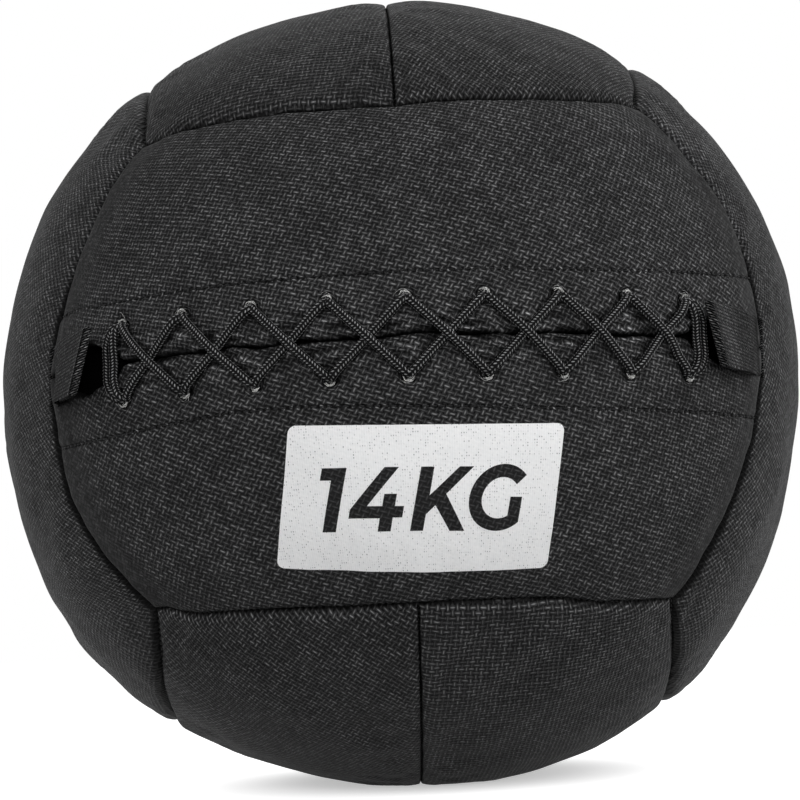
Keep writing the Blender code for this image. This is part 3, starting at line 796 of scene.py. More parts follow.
def add_floor():
    """Pale floor that keeps the ball's shadow, glows white for the camera away from the ball, and glows less
    near it, as a painted shadow round the ball.
    """
    mesh = bpy.data.meshes.new("floor")
    corners = np.array([(-1, -1), (1, -1), (1, 1), (-1, 1)]) * FLOOR_REACH
    mesh.from_pydata([(x, y, -FLOOR_DROP) for x, y in corners.tolist()], [], [(0, 1, 2, 3)])
    graph = Graph("floor")
    nodes = graph.tree.nodes
    seen = graph.camera_white()
    place = graph.add("TexCoord", {}, "Object")
    away = graph.add("VectorMath", {0: place, 1: FLOOR_GLOW_CENTRE}, "Value", operation="DISTANCE")
    glow = seen * away.stepped(*FLOOR_GLOW_REACH, FLOOR_GLOW_NEAR, FLOOR_GLOW_FAR)
    colour = graph.mix(seen, FLOOR_BOUNCE, FLOOR_SEEN)
    mesh.materials.append(graph.finish(colour, 0.9, Specular_IOR_Level=0.0))
    shader = Value(graph, nodes["Principled BSDF"].outputs[0])
    total = graph.add("AddShader", {0: shader, 1: graph.add("Emission", {"Strength": glow})})
    graph.put(total, nodes["Material Output"].inputs["Surface"])
    show("floor", mesh)


def add_studio():
    """Pale studio with soft lamps, and a world that is white for the camera and grey for the cloth."""
    bpy.context.scene.view_settings.view_transform = "Standard"
    graph = Graph("studio", bpy.data.worlds)
    bpy.context.scene.world = graph.owner
    sky = graph.mix(graph.camera_white(), WORLD_LIGHT, (1, 1, 1))
    graph.put(sky, graph.tree.nodes["Background"].inputs["Color"])
    add_floor()
    for name, (place, size, power) in LAMPS.items():
        data = bpy.data.lights.new(name, "AREA")
        data.size, data.energy = size, power
        lamp = show(name, data)
        lamp.location = place
        lamp.rotation_euler = (Vector(LAMP_TARGET) - lamp.location).to_track_quat("-Z", "Y").to_euler()


add_camera()
add_studio()

COVER = cover_material()
# The hem and tongue cloth is painted far darker than the cover's: painted shade for the dark inside of the
# gaping slit
HEM_CLOTH_SHADE_TONES = ((0.0008, 0.0008, 0.0008), (0.004, 0.004, 0.004))
HEM_CLOTH = plain_cloth_material("hem_cloth", *HEM_CLOTH_SHADE_TONES, 0.0008, 0.7, 0.0)
SEAM_THREAD = thread_material("seam_thread", (0.002, 0.002, 0.002), (0.012, 0.012, 0.012), 0.5)
HEM_THREAD = thread_material("hem_thread", (0.002, 0.002, 0.002), (0.020, 0.020, 0.021), 0.5)
EYELET_THREAD = thread_material("eyelet_thread", (0.006, 0.006, 0.006), (0.88, 0.88, 0.86), 0.6)
LACE = lace_material()
WEBBING = webbing_material()
LABEL = label_material()
INK = ink_material()


# The laced band's forms: each height or depth over the skin with its reach, in metres
LACED_HALF_HEIGHT = 0.030
LACE_FAR = 0.02
BAND_REACH = 0.021
LIP_HEIGHT, LIP_REACH = 0.0014, 0.007
PUFF_HEIGHT, PUFF_RISE, PUFF_REACH = 0.0009, 0.006, 0.007
DENT_DEPTH, DENT_REACH, DENT_FREE_REACH = 0.0005, 0.0022, 0.0042
LIP_ROLL = 0.0012
HOLE_DEPTH, HOLE_REACH = 0.0013, 0.0042
HOLE_RIM_HEIGHT, HOLE_RIM_RADIUS, HOLE_RIM_REACH = 0.0005, 0.0075, 0.003
HEM_GROOVE_DEPTH, HEM_GROOVE_REACH = 0.0006, 0.0015
HEM_PUFF_HEIGHT, HEM_PUFF_REACH, HEM_PUFF_PITCH = 0.0002, 0.0035, 0.0062
CREASE_HEIGHT, CREASE_REACH = 0.0009, 0.0120
FOLD_HEIGHT, FOLD_REACH = 0.00045, 0.024
# Where the lips' crumpling ends, under the roots of the webbing loops
CREASE_END = (0.136, 0.147)


def lace_clearance(arc, rise):
    """Distance in the skin from places on the laced face to the nearest lace, up to a far one."""
    near = np.abs(rise) < LACED_HALF_HEIGHT
    flat = np.stack([arc[near], rise[near]], axis=-1)
    nearest = np.full(len(flat), LACE_FAR)
    for first_side in (1, -1):
        route = smooth_path(lace_route(first_side), 0.001)
        for place in route[route[:, 2] > 0]:
            nearest = np.minimum(nearest, np.linalg.norm(flat - place[:2], axis=-1))
    clearance = np.full(arc.shape, LACE_FAR)
    clearance[near] = nearest
    return clearance


def lip_distance(arc, rise):
    """Distance from the edge of the slit."""
    return np.abs(rise) - slit_half_gap("front", arc / BALL_RADIUS) * BALL_RADIUS


def lip_creases(arc, rise):
    """Crumpling of the lips, from about -1 to 1, and how strong it is at a place."""
    crease = waves(np.stack([arc * 0.20, rise], axis=-1), 0.0026, 0.0044, 5)
    return crease, bell(rise, CREASE_REACH, 4) * (1 - smooth_step(np.abs(arc), *CREASE_END))


def hem_rise(arc, side):
    """Rise of a hem's stitch line along the slit, as it was sewn."""
    return side * read_table(HEM_STITCH[side], arc)


def laced_detail(arc, rise):
    """Height of the hemmed, laced band over the CAD skin."""
    edge = lip_distance(arc, rise)
    band = bell(rise, BAND_REACH, 6)
    lace = lace_clearance(arc, rise)
    free = 1 - bell(lace, DENT_FREE_REACH)
    height = LIP_HEIGHT * np.exp(-edge / LIP_REACH) * (0.35 + 0.65 * free)
    height += PUFF_HEIGHT * band * free * bell(np.abs(rise) - PUFF_RISE, PUFF_REACH)
    height -= DENT_DEPTH * band * bell(lace, DENT_REACH)
    short = np.clip(1 - edge / LIP_ROLL, 0, 1)
    height -= LIP_ROLL * (1 - np.sqrt(np.maximum(0, 1 - short**2)))
    holes = np.min([np.hypot(arc - hole, np.abs(rise) - EYELET_RISE) for hole in eyelet_arcs()], axis=0)
    height -= HOLE_DEPTH * bell(holes, HOLE_REACH)
    height += HOLE_RIM_HEIGHT * bell(holes - HOLE_RIM_RADIUS, HOLE_RIM_REACH)
    stitch = np.minimum(np.abs(rise - hem_rise(arc, 1)), np.abs(rise - hem_rise(arc, -1)))
    height -= HEM_GROOVE_DEPTH * bell(stitch, HEM_GROOVE_REACH)
    height += HEM_PUFF_HEIGHT * bell(stitch, HEM_PUFF_REACH) * np.sin(arc * math.tau / HEM_PUFF_PITCH)
    crease, strength = lip_creases(arc, rise)
    height += CREASE_HEIGHT * crease * strength
    fold = waves(np.stack([arc, rise * 0.45], axis=-1), 0.006, 0.016, 6)
    return height + FOLD_HEIGHT * fold * bell(rise, FOLD_REACH, 4)


def panel_grid(face, side, column_places, row_places):
    """Angles of a panel's points, row after row from its split to its end."""
    far = across_limit(face) - SEAM_ANGLE
    column, row = np.meshgrid(2 * column_places - 1, row_places)
    near = slit_half_gap(face, column * (along_limit(face, row * far) - SEAM_ANGLE))
    across = near + row * (far - near)
    return column * (along_limit(face, across) - SEAM_ANGLE / np.cos(across)), side * across


# Stitch lines of the hems, as arc and distance from the slit
HEM_STITCH = {
    1: [(-0.166, 0.0240), (0.090, 0.0243), (0.133, 0.0265), (0.166, 0.0290)],
    -1: [(-0.158, 0.0285), (-0.124, 0.0276), (-0.104, 0.0262), (-0.069, 0.0238), (-0.039, 0.0237),
         (-0.004, 0.0255), (0.065, 0.0282), (0.162, 0.0287)],
}
# Directions of the weft and the warp in the axes of each panel but the front ones
PANEL_YARNS_DEG = {
    ("back", -1): (-20, 68), ("back", 1): (12, 100), ("top", -1): (98, 190), ("top", 1): (28, 128),
    ("bottom", -1): (55, 150), ("bottom", 1): (84, 174), ("left", -1): (30, 105), ("left", 1): (40, 128),
    ("right", -1): (27, 117), ("right", 1): (-38, 52),
}
# Yarns counted over the front halves, which the sewing bends: factors of x, y, xx, xy and yy in units
# of 0.1 m, first for the weft's columns and then for its rows
FRONT_YARNS = {
    -1: ((45.65, -23.66, 1.44, 7.58, -1.39), (19.11, 52.59, -2.27, 4.42, 2.65)),
    1: ((46.65, -23.47, -2.75, -6.49, 0.92), (18.84, 52.91, 2.32, -4.66, -0.95)),
}
LIP_YARN_SHIFT = 0.35


def yarn_places(face, side, arc, up):
    """Places across the two sets of yarns of a panel, in metres of cloth."""
    if face == "front":
        x, y = arc / 0.1, up / 0.1
        counts = np.stack([x, y, x * x, x * y, y * y], axis=-1) @ np.array(FRONT_YARNS[side]).T
        crease, strength = lip_creases(arc, up)
        counts[..., 1] += LIP_YARN_SHIFT * crease * strength
        places = counts * WEAVE_PITCH
    else:
        weft, warp = np.radians(PANEL_YARNS_DEG[face, side])
        places = np.stack([arc * math.sin(warp) - up * math.cos(warp),
                           up * math.cos(weft) - arc * math.sin(weft)], axis=-1) / math.sin(warp - weft)
    return np.concatenate([places, np.zeros(arc.shape + (1,))], axis=-1)


# How far the front's four seams lie from an even ball's, as they were sewn: place along, way across
SEAM_SWAYS = {
    "left": [(-0.099, 0.0085), (-0.086, 0.0075), (-0.079, 0.0060), (-0.072, 0.0040), (-0.060, 0.0020),
             (-0.047, 0.0012), (-0.029, 0.0025), (-0.017, 0.0035), (0.0, 0.0040), (0.018, 0.0058),
             (0.030, 0.0085), (0.042, 0.0105), (0.053, 0.0120), (0.086, 0.0120), (0.103, 0.0095)],
    "right": [(-0.097, -0.0045), (-0.084, -0.0060), (-0.066, -0.0050), (-0.048, -0.0045), (-0.036, -0.0020),
              (-0.017, 0.0), (0.001, 0.0005), (0.013, 0.0025), (0.038, 0.0045), (0.058, 0.0055),
              (0.070, 0.0015), (0.077, -0.0020), (0.090, -0.0055)],
    "top": [(-0.130, -0.0065), (-0.118, -0.0048), (-0.107, -0.0030), (-0.050, -0.0028), (-0.030, -0.0038),
            (0.0, -0.0034), (0.020, -0.0012), (0.048, 0.0), (0.069, 0.0010), (0.091, 0.0020), (0.117, 0.0042),
            (0.130, 0.0035)],
    "bottom": [(-0.131, 0.0055), (-0.121, 0.0030), (-0.109, 0.0014), (-0.058, 0.0012), (-0.040, 0.0002),
               (0.060, 0.0005), (0.093, -0.0026), (0.129, -0.0015)],
}
SIDE_SWAY_REACH = 0.026
END_SWAY_REACH = 0.018
# How far the settled filling swells the ball's outline, in millimetres by degrees from +X up towards +Z,
# and the band round the viewing axis in which it does
SWELLS = [(-180, 0.5), (-168, -0.2), (-156, -0.5), (-144, 0.4), (-132, -0.5), (-120, -2.3), (-108, -2.0),
          (-96, 0.2), (-84, 2.3), (-72, 1.3), (-60, 1.3), (-48, 1.3), (-36, -0.7), (-24, -2.3), (-12, -2.3),
          (0, 0.1), (12, 1.5), (24, 1.2), (36, 0.9), (48, -0.2), (60, -1.2), (72, -1.5), (84, -0.8),
          (96, -1.5), (108, -2.3), (120, -2.3), (132, -0.5), (144, 0.3), (156, 0.5), (168, 0.5), (180, 0.5)]
SWELL_AXIS = (-0.017, -0.992, -0.122)
SWELL_MIDDLE = 0.207
SWELL_REACH = (0.10, 0.40)


def swell(direction):
    """How far the skin stands out of the even ball along unit directions."""
    turn = np.degrees(np.arctan2(direction[..., 2], direction[..., 0]))
    off = np.abs(direction @ np.array(SWELL_AXIS) - SWELL_MIDDLE)
    return 0.001 * read_table(SWELLS, turn) * (1 - smooth_step(off, *SWELL_REACH))


def sewn(points):
    """Move made points along the skin, so that the front's seams run as they were sewn."""
    away = points - CENTRE
    direction = unit(away)
    along = np.arctan2(direction[..., 0], -direction[..., 1])
    across = np.arcsin(np.clip(direction[..., 2], -1, 1))
    far = across_limit("front")
    ends = along_limit("front", np.clip(across, -far, far)) * BALL_RADIUS
    arc, rise = along * BALL_RADIUS, across * BALL_RADIUS
    drift, climb = 0, 0
    for word, sign in (("left", -1), ("right", 1)):
        drift += read_table(SEAM_SWAYS[word], rise) * bell(arc - sign * ends, SIDE_SWAY_REACH)
    for word, sign in (("bottom", -1), ("top", 1)):
        climb += read_table(SEAM_SWAYS[word], arc) * bell(rise - sign * far * BALL_RADIUS, END_SWAY_REACH)
    calm = smooth_step(math.radians(75) - np.abs(across), 0.0, math.radians(25))
    moved = face_direction("front", along + drift * calm / BALL_RADIUS, across + climb / BALL_RADIUS)
    radius = np.linalg.norm(away, axis=-1) + settled_radius(moved) - settled_radius(direction) + swell(moved)
    return CENTRE + moved * radius[..., None]


SIM_COLUMNS = 76
SIM_ROWS = 25
SIM_FRAMES = 18
SIM_CLOTH = {
    "quality": 4, "mass": 0.2, "tension_stiffness": 40, "compression_stiffness": 40, "shear_stiffness": 12,
    "bending_stiffness": 0.15, "use_pressure": True, "uniform_pressure_force": 3.0, "shrink_min": -0.012,
    "vertex_group_mass": "pin",
}
SIM_SMOOTHINGS = 40
SIM_CAP = 0.0006
SIM_FRONT_SHARE = 0.4
SIM_FREE_FROM = (0.029, 0.042)


def cubic_weights(places, count):
    """Weights that read a smooth curve through an even row of values at places from 0 to 1."""
    place = np.clip(places, 0, 1) * (count - 1)
    start = np.minimum(place.astype(int), count - 2)
    part = place - start
    kernel = [
        (-part + 2 * part**2 - part**3) / 2,
        (2 - 5 * part**2 + 3 * part**3) / 2,
        (part + 4 * part**2 - 3 * part**3) / 2,
        (part**3 - part**2) / 2,
    ]
    weights = np.zeros((len(places), count))
    for offset, values in zip((-1, 0, 1, 2), kernel):
        target = np.clip(start + offset, 0, count - 1)
        np.add.at(weights, (np.arange(len(places)), target), values)
    return weights


def panels():
    """Face, side of its split and word of each of the twelve panels."""
    return [(face, side, word) for face, parts in FACES.items() for side, word in zip((-1, 1), parts[4])]


def simulate_cover():
    """Cloth simulation of all panels, held at their seams and blown up: how far each point rises."""
    border = np.ones((SIM_ROWS, SIM_COLUMNS), bool)
    border[1:-1, 1:-1] = False
    shapes, faces, pinned = [], [], []
    for number, (face, side, _) in enumerate(panels()):
        angles = panel_grid(face, side, np.linspace(0, 1, SIM_COLUMNS), np.linspace(0, 1, SIM_ROWS))
        shapes.append(skin_points(face, *angles))
        start = number * border.size
        faces.append(outward_faces(shapes[-1].reshape(-1, 3), grid_faces(SIM_ROWS, SIM_COLUMNS)) + start)
        pinned.extend((start + np.flatnonzero(border)).tolist())
    mesh = bpy.data.meshes.new("cover_sim")
    mesh.from_pydata(np.reshape(shapes, (-1, 3)).tolist(), [], [tuple(face) for face in np.vstack(faces)])
    held = show("cover_sim", mesh)
    held.vertex_groups.new(name="pin").add(pinned, 1.0, "REPLACE")
    cloth = held.modifiers.new("cloth", "CLOTH")
    for key, value in SIM_CLOTH.items():
        setattr(cloth.settings, key, value)
    cloth.settings.effector_weights.gravity = 0
    cloth.point_cache.frame_start = 1
    cloth.point_cache.frame_end = SIM_FRAMES
    scene = bpy.context.scene
    for moment in range(1, SIM_FRAMES + 1):
        scene.frame_set(moment)
    moved = np.empty(np.size(shapes))
    held.evaluated_get(bpy.context.evaluated_depsgraph_get()).data.vertices.foreach_get("co", moved)
    scene.frame_set(1)
    bpy.data.objects.remove(held, do_unlink=True)
    wrinkles = {}
    for (face, side, _), points, block in zip(panels(), shapes, moved.reshape(np.shape(shapes))):
        angles = panel_grid(face, side, np.linspace(0, 1, SIM_COLUMNS), np.linspace(0, 1, SIM_ROWS))
        rise = ((block - points) * face_direction(face, *angles)).sum(axis=-1)
        wrinkles[face, side] = wrinkles_only(face, rise, angles[1])
    return wrinkles


def wrinkles_only(face, rise, across):
    """Take the broad bulge out of a simulated panel and cap what is left, none of it near the laces."""
    broad = rise.copy()
    for _ in range(SIM_SMOOTHINGS):
        padded = np.pad(broad, 1, mode="edge")
        broad = (padded[:-2, 1:-1] + padded[2:, 1:-1] + padded[1:-1, :-2] + padded[1:-1, 2:]) / 4
    fine = SIM_CAP * np.tanh((rise - broad) / SIM_CAP)
    if face == "front":
        fine = SIM_FRONT_SHARE * fine * smooth_step(np.abs(across) * BALL_RADIUS, *SIM_FREE_FROM)
    return fine


def front_wrinkles(arc, rise):
    """Height of the simulated wrinkles at a row of places below the slit."""
    if not WRINKLES:
        return 0
    along, across = arc / BALL_RADIUS, np.abs(rise) / BALL_RADIUS
    near = slit_half_gap("front", along)
    rows = (across - near) / (across_limit("front") - SEAM_ANGLE - near)
    columns = 0.5 + 0.5 * along / (along_limit("front", across) - SEAM_ANGLE / np.cos(across))
    weights = cubic_weights(rows, SIM_ROWS) @ WRINKLES["front", -1] * cubic_weights(columns, SIM_COLUMNS)
    return weights.sum(axis=1)


# Reaches from the seams, and along the panels, over which the cloth's painted shade turns
SEAM_SHADE_REACH = (0.0002, 0.0016)
SIDE_SEAM_SHADE_REACH = (0.0016, 0.0034)
FINE_SEAM_FROM = (0.030, 0.060)
TOP_SHADE_REACH = (-0.095, -0.040)
BOTTOM_SHADE_REACH = (-0.085, -0.045)
LACE_SHADE_REACH = (0.0015, 0.0032)
LIP_SHADE_REACH = (0.0002, 0.0015)
LIT_RISE, LIT_REACH = 0.012, 0.018


def panel_shade(face, arc, up, nearest):
    """Painted shade and light on the cloth: shade in its seam grooves, on the top panels towards the front
    and on the bottom ones towards the floor, beside the laces, at the slit's lips and in the lips' crease
    troughs; highlight on the creases' crests and a lit band above the slit.
    """
    start, end = SEAM_SHADE_REACH
    if face in ("left", "right"):
        wide = 1 - smooth_step(arc, *FINE_SEAM_FROM)
        start, end = (low + (high - low) * wide for low, high in zip(SEAM_SHADE_REACH, SIDE_SEAM_SHADE_REACH))
    # Painted shade in the seam grooves
    shade = 0.05 + 0.95 * smooth_step(nearest, start, end)
    # Top panels painted darker towards the front, bottom panels towards the floor: painted shade
    if face == "top":
        shade *= 0.80 + 0.24 * smooth_step(arc, *TOP_SHADE_REACH)
    if face == "bottom":
        shade *= 1.0 - 0.36 * smooth_step(arc, *BOTTOM_SHADE_REACH)
    if face == "front":
        crease, strength = lip_creases(arc, up)
        # Painted shade beside the laces and at the slit's lips
        shade *= 0.42 + 0.58 * smooth_step(lace_clearance(arc, up), *LACE_SHADE_REACH)
        shade *= 0.25 + 0.75 * smooth_step(lip_distance(arc, up), *LIP_SHADE_REACH)
        # Painted shade in the creases' troughs, painted highlight on their crests, and a painted lit band
        # above the slit
        shade *= 1 - 0.75 * strength * (1 - smooth_step(crease, -0.7, -0.1))
        shade *= 1 + strength * smooth_step(crease, 0.0, 0.6)
        shade *= 1 + 0.10 * bell(up - LIT_RISE, LIT_REACH, 4)
    return shade


# The split seams of the top and the bottom, which are drawn in less than the others
FINE_SEAM_FILL_SHARE = 0.65
FINE_GROOVE_DEPTH = 0.0015
FINE_GROOVE_REACH = 0.0004
FINE_SEAM_SHADE_SHARE = 2.2
# How much of the front's weave gives way to one flat dark colour, painted shade where its painted highlights
# fade, and from the side seams to where, left and right
SEAMSIDE_SHADE_SHARE = 0.85
SEAMSIDE_SHADE_REACH = {-1: (0.010, 0.038), 1: (0.006, 0.028)}
# The lips' sway, the broad soft waves and the gathers along the seams
LIP_SWAY, LIP_SWAY_REACH = 0.0007, 0.010
SWAG_HEIGHT = 0.0004
GATHER_HEIGHT, GATHER_REACH = 0.00025, 0.006


def swags(base):
    """Height of the broad soft waves in the cover."""
    return SWAG_HEIGHT * waves(base, 0.020, 0.070, 3)


def add_panel(face, side, word):
    """One panel of the cover, a fine skin whose edges turn in at the seams."""
    front, fine_seamed = face == "front", face in ("top", "bottom")
    width = across_limit(face) * BALL_RADIUS
    length = 2 * float(along_limit(face, 0)) * BALL_RADIUS
    columns, rows = (graded_places(size, FRONT_STEP if front else SIDE_STEP) for size in (length, width))
    along, across = panel_grid(face, side, columns, rows)
    distances = seam_distances(face, along, across)
    arc, up = along * BALL_RADIUS, across * BALL_RADIUS
    height = np.zeros(along.shape)
    if front:
        sway = waves(np.stack([arc, 0 * arc], axis=-1), 0.014, 0.045, 8)
        across = across + LIP_SWAY / BALL_RADIUS * sway * bell(up, LIP_SWAY_REACH)
    if WRINKLES:
        height += cubic_weights(rows, SIM_ROWS) @ WRINKLES[face, side] @ cubic_weights(columns, SIM_COLUMNS).T
    nearest = np.minimum(distances[1], distances[2])
    if fine_seamed:
        filled = FINE_SEAM_FILL_SHARE * SEAM_DEPTH * np.exp(-distances[0] / SEAM_REACH)
        height += filled * (1 - np.exp(-nearest / SEAM_REACH))
        height -= FINE_GROOVE_DEPTH * np.exp(-distances[0] / FINE_GROOVE_REACH)
    elif not front:
        nearest = np.minimum(nearest, distances[0])
    height -= GROOVE_DEPTH * np.exp(-nearest / GROOVE_REACH)
    if fine_seamed:
        nearest = np.minimum(nearest, FINE_SEAM_SHADE_SHARE * distances[0])
    base = skin_points(face, along, across)
    height += swags(base) + GATHER_HEIGHT * waves(base, 0.007, 0.013, 4) * np.exp(-nearest / GATHER_REACH)
    hem, wear_and_shade = np.ones(arc.shape), np.zeros(arc.shape)
    if front:
        height += laced_detail(arc, up)
        hem = up - hem_rise(arc, side)
        # Painted shade by the side seams, where the weave flattens to one dark colour
        start, end = (np.where(arc < 0, *pair) for pair in zip(SEAMSIDE_SHADE_REACH[-1], SEAMSIDE_SHADE_REACH[1]))
        wear_and_shade = SEAMSIDE_SHADE_SHARE * (1 - smooth_step(distances[2], start, end))
        distances[0] = np.ones(arc.shape)
    direction = face_direction(face, along, across)
    grids = [
        base + direction * height[..., None],
        direction,
        np.stack([arc, up, 0 * arc], axis=-1),
        yarn_places(face, side, arc, up),
        np.stack(distances, axis=-1),
        np.stack([panel_shade(face, arc, up, nearest), hem, wear_and_shade], axis=-1),
    ]
    grids = [np.pad(grid, ((1, 1), (1, 1), (0, 0)), mode="edge") for grid in grids]
    points, direction, cloth, weave, edge, shade = grids
    tuck = np.full(points.shape[:2] + (1,), TUCK_DEPTH)
    tuck[1:-1, 1:-1] = 0
    points = sewn(points - direction * tuck)
    if face == "bottom":
        points[..., 2] = np.maximum(points[..., 2], 0)
    faces = grid_faces(*points.shape[:2])
    points = points.reshape(-1, 3)
    faces = outward_faces(points, faces)
    if front:
        points, faces = open_eyelets(points, cloth.reshape(-1, 3), faces)
    panel = make_piece(f"cover_{face}_{word}", points, faces, COVER,
                       cloth=cloth, weave=weave, edge=edge, shade=shade)
    on_ball(panel, "cover", f"panel_{face}_{word}")


EYELET_REACH = 0.0045
EYELET_OPEN = 0.0013


def open_eyelets(points, cloth, faces):
    """Open the cloth round each eyelet's bore."""
    bore = EYELET_BORE / 2 + 0.0002
    keep = np.ones(len(faces), bool)
    for side, _, arc, centre, out in eyelets():
        distance = np.linalg.norm(cloth[:, :2] - (arc, side * EYELET_RISE), axis=1)
        near = distance < EYELET_REACH
        keep &= ~(distance < EYELET_OPEN)[faces].all(axis=1)
        wide = bore + distance[near] * (EYELET_REACH - bore) / EYELET_REACH
        factor = wide / np.maximum(distance[near], 1e-5)
        away = points[near] - centre
        tall = (away @ out)[:, None] * out
        points[near] = centre + (away - tall) * factor[:, None] + tall
    return points, faces[keep]


WRINKLES = simulate_cover()
for panel_place in panels():
    add_panel(*panel_place)


def seam_lines():
    """Middle lines of all the seams, as face, along and across."""
    def line(face, across):
        limit = float(along_limit(face, across))
        return face, np.linspace(-limit, limit, 400), np.full(400, across)

    lines = [line(face, 0.0) for face in ("back", "top", "bottom", "left", "right")]
    for face in ("front", "back"):
        for sign in (-1, 1):
            far = across_limit(face)
            across = np.linspace(-far, far, 400)
            lines += [line(face, sign * far), (face, sign * along_limit(face, across), across)]
    for sign in (-1, 1):
        lines += [line(face, sign * across_limit(face)) for face in ("top", "bottom")]
    return lines


def stitch_arrays(path, normals, pitch, length, radius, lift, seed):
    """Stitches along a line: short threads that dive at both ends."""
    even = lengths_along(path)[-1]
    count = max(2, int(even / pitch))
    rng = np.random.default_rng(seed)
    middles = (np.arange(count) + 0.5) * even / count
    profile = np.linspace(-1, 1, 7)
    places = middles[:, None] + profile * length / 2 * rng.uniform(0.85, 1.1, (count, 1))
    out = unit(read_path(path, normals, places))
    arch = lift * (1 - 1.6 * profile**4) * rng.uniform(0.8, 1.2, (count, 1))
    paths = read_path(path, path, places) + out * arch[..., None]
    radii = radius * np.sqrt(np.maximum(0.05, 1 - profile**6))
    return thread_arrays(paths, out, radii, 6, places, rng.random(count))


# Pitch, length, radius and lift of the seams' and the hems' stitches
SEAM_STITCH = (0.0026, 0.0017, 0.00028, 0.0002)
HEM_STITCHES = (HEM_STITCH_PITCH, 0.0022, 0.00034, 0.00012)
SEAM_THREAD_DEPTH = 0.0022
HEM_STITCH_INSET = 0.003


def add_seam_stitches():
    """Thread that shows in the bottom of every seam."""
    blocks = []
    for number, (face, along, across) in enumerate(seam_lines()):
        direction = face_direction(face, along, across)
        path = lining_points(along, across, SEAM_THREAD_DEPTH, face)
        blocks.append(stitch_arrays(path, direction, *SEAM_STITCH, number))
    points, faces, cloth = join_arrays(blocks)
    points = sewn(points)
    points[:, 2] = np.maximum(points[:, 2], 0)
    on_ball(make_piece("seam_thread", points, faces, SEAM_THREAD, cloth=cloth), "lace")


def add_hem_stitches():
    """The two top-stitched lines that hold the hem facings."""
    for side, word in ((-1, "lower"), (1, "upper")):
        start = float(along_limit("front", HEM_STITCH[side][0][1] / BALL_RADIUS))
        limit = start * BALL_RADIUS - HEM_STITCH_INSET
        arc = np.linspace(-limit, limit, 500)
        rise = hem_rise(arc, side)
        path = front_points(np.stack([arc, rise, laced_detail(arc, rise) + 0.0001], axis=-1))
        direction = face_direction("front", arc / BALL_RADIUS, rise / BALL_RADIUS)
        points, faces, cloth = stitch_arrays(path, direction, *HEM_STITCHES, 50 + side)
        on_ball(make_piece(f"hem_stitch_{word}", sewn(points), faces, HEM_THREAD, cloth=cloth), "lace")


add_seam_stitches()
add_hem_stitches()

BRAID_COLUMNS = 6
BRAID_PITCH = 0.00125
BRAID_SLANT_SHARE = 0.42
BRAID_DEPTH = 0.00034
LACE_SIDES = 36
LACE_TWIST_SHARE = 0.08
LACE_STEP = 0.00022


def braid_height(turn, place):
    """Height from 0 to 1 of the cord's herringbone, by turns round it and pitches along it."""
    column = turn * BRAID_COLUMNS
    part = 2 * (column % 1) - 1
    slant = np.where(np.floor(column) % 2 == 0, BRAID_SLANT_SHARE, -BRAID_SLANT_SHARE)
    ridge = 0.5 + 0.5 * np.cos(math.tau * (place + slant * part))
    return np.maximum(0, 1 - part**2) ** 0.6 * (0.30 + 0.70 * ridge**0.8)


def add_laces():
    """Two braided laces along the CAD routes."""
    for name, first_side in (("lace_outer", 1), ("lace_inner", -1)):
        path = smooth_path(front_points(lace_route(first_side)), LACE_STEP)
        normals, tangents = unit(path - CENTRE), unit(np.gradient(path, axis=0))
        reference = np.cross(tangents[0], normals[0])
        frames = []
        for tangent, normal in zip(tangents, normals):
            reference = reference + LACE_TWIST_SHARE * (normal - reference)
            reference = unit(reference - tangent * (reference @ tangent))
            frames.append((reference, np.cross(tangent, reference)))
        frames = np.array(frames)
        along = lengths_along(path)[:, None]
        turn = np.linspace(0, 1, LACE_SIDES + 1)
        lift = braid_height(turn[None], along / BRAID_PITCH)
        radius = LACE_DIAMETER / 2 - BRAID_DEPTH * (1 - lift)
        points = path[:, None] + rings(frames[:, 0], frames[:, 1], turn * math.tau) * radius[..., None]
        cloth = np.stack(np.broadcast_arrays(along, turn * math.tau * LACE_DIAMETER / 2, lift), axis=-1)
        braid = make_piece(f"{name}_braid", points, grid_faces(len(path), LACE_SIDES + 1), LACE, cloth=cloth)
        on_ball(braid, "lace", name)


add_laces()

EYELET_STITCHES = 26
EYELET_RING = 0.00165
ARC_COUNT = 4
FRAY_COUNT = 3


def add_eyelets():
    """Buttonhole-stitched eyelets with frayed pale thread."""
    for side, number, _, centre, out in eyelets():
        word = "upper" if side > 0 else "lower"
        rng = np.random.default_rng(100 * number + side)
        east = unit(np.cross((0, 0, 1), out))
        blocks = [ring_stitches(rng)]
        blocks.append(frayed_threads(rng, ARC_COUNT, 0.0003, (0.00009, 0.00016)))
        blocks.append(frayed_threads(rng, FRAY_COUNT, 0.0014, (0.00004, 0.00008)))
        points, faces, cloth = join_arrays(blocks)
        points = centre + points @ np.array([east, np.cross(out, east) * side, out])
        piece = make_piece(f"eyelet_stitch_{word}_{number}", points, faces, EYELET_THREAD, cloth=cloth)
        on_ball(piece, "eyelet", f"eyelet_{word}_{number}")


def eyelet_threads(spin, radius, level, radii, tones):
    """Threads in an eyelet's own axes, from their turns round it, distances from it and heights."""
    paths = np.stack([np.cos(spin) * radius, np.sin(spin) * radius, level], axis=-1)
    return thread_arrays(paths, (0, 0, 1), radii, 5, np.linspace(0, 0.002, paths.shape[1]), tones)


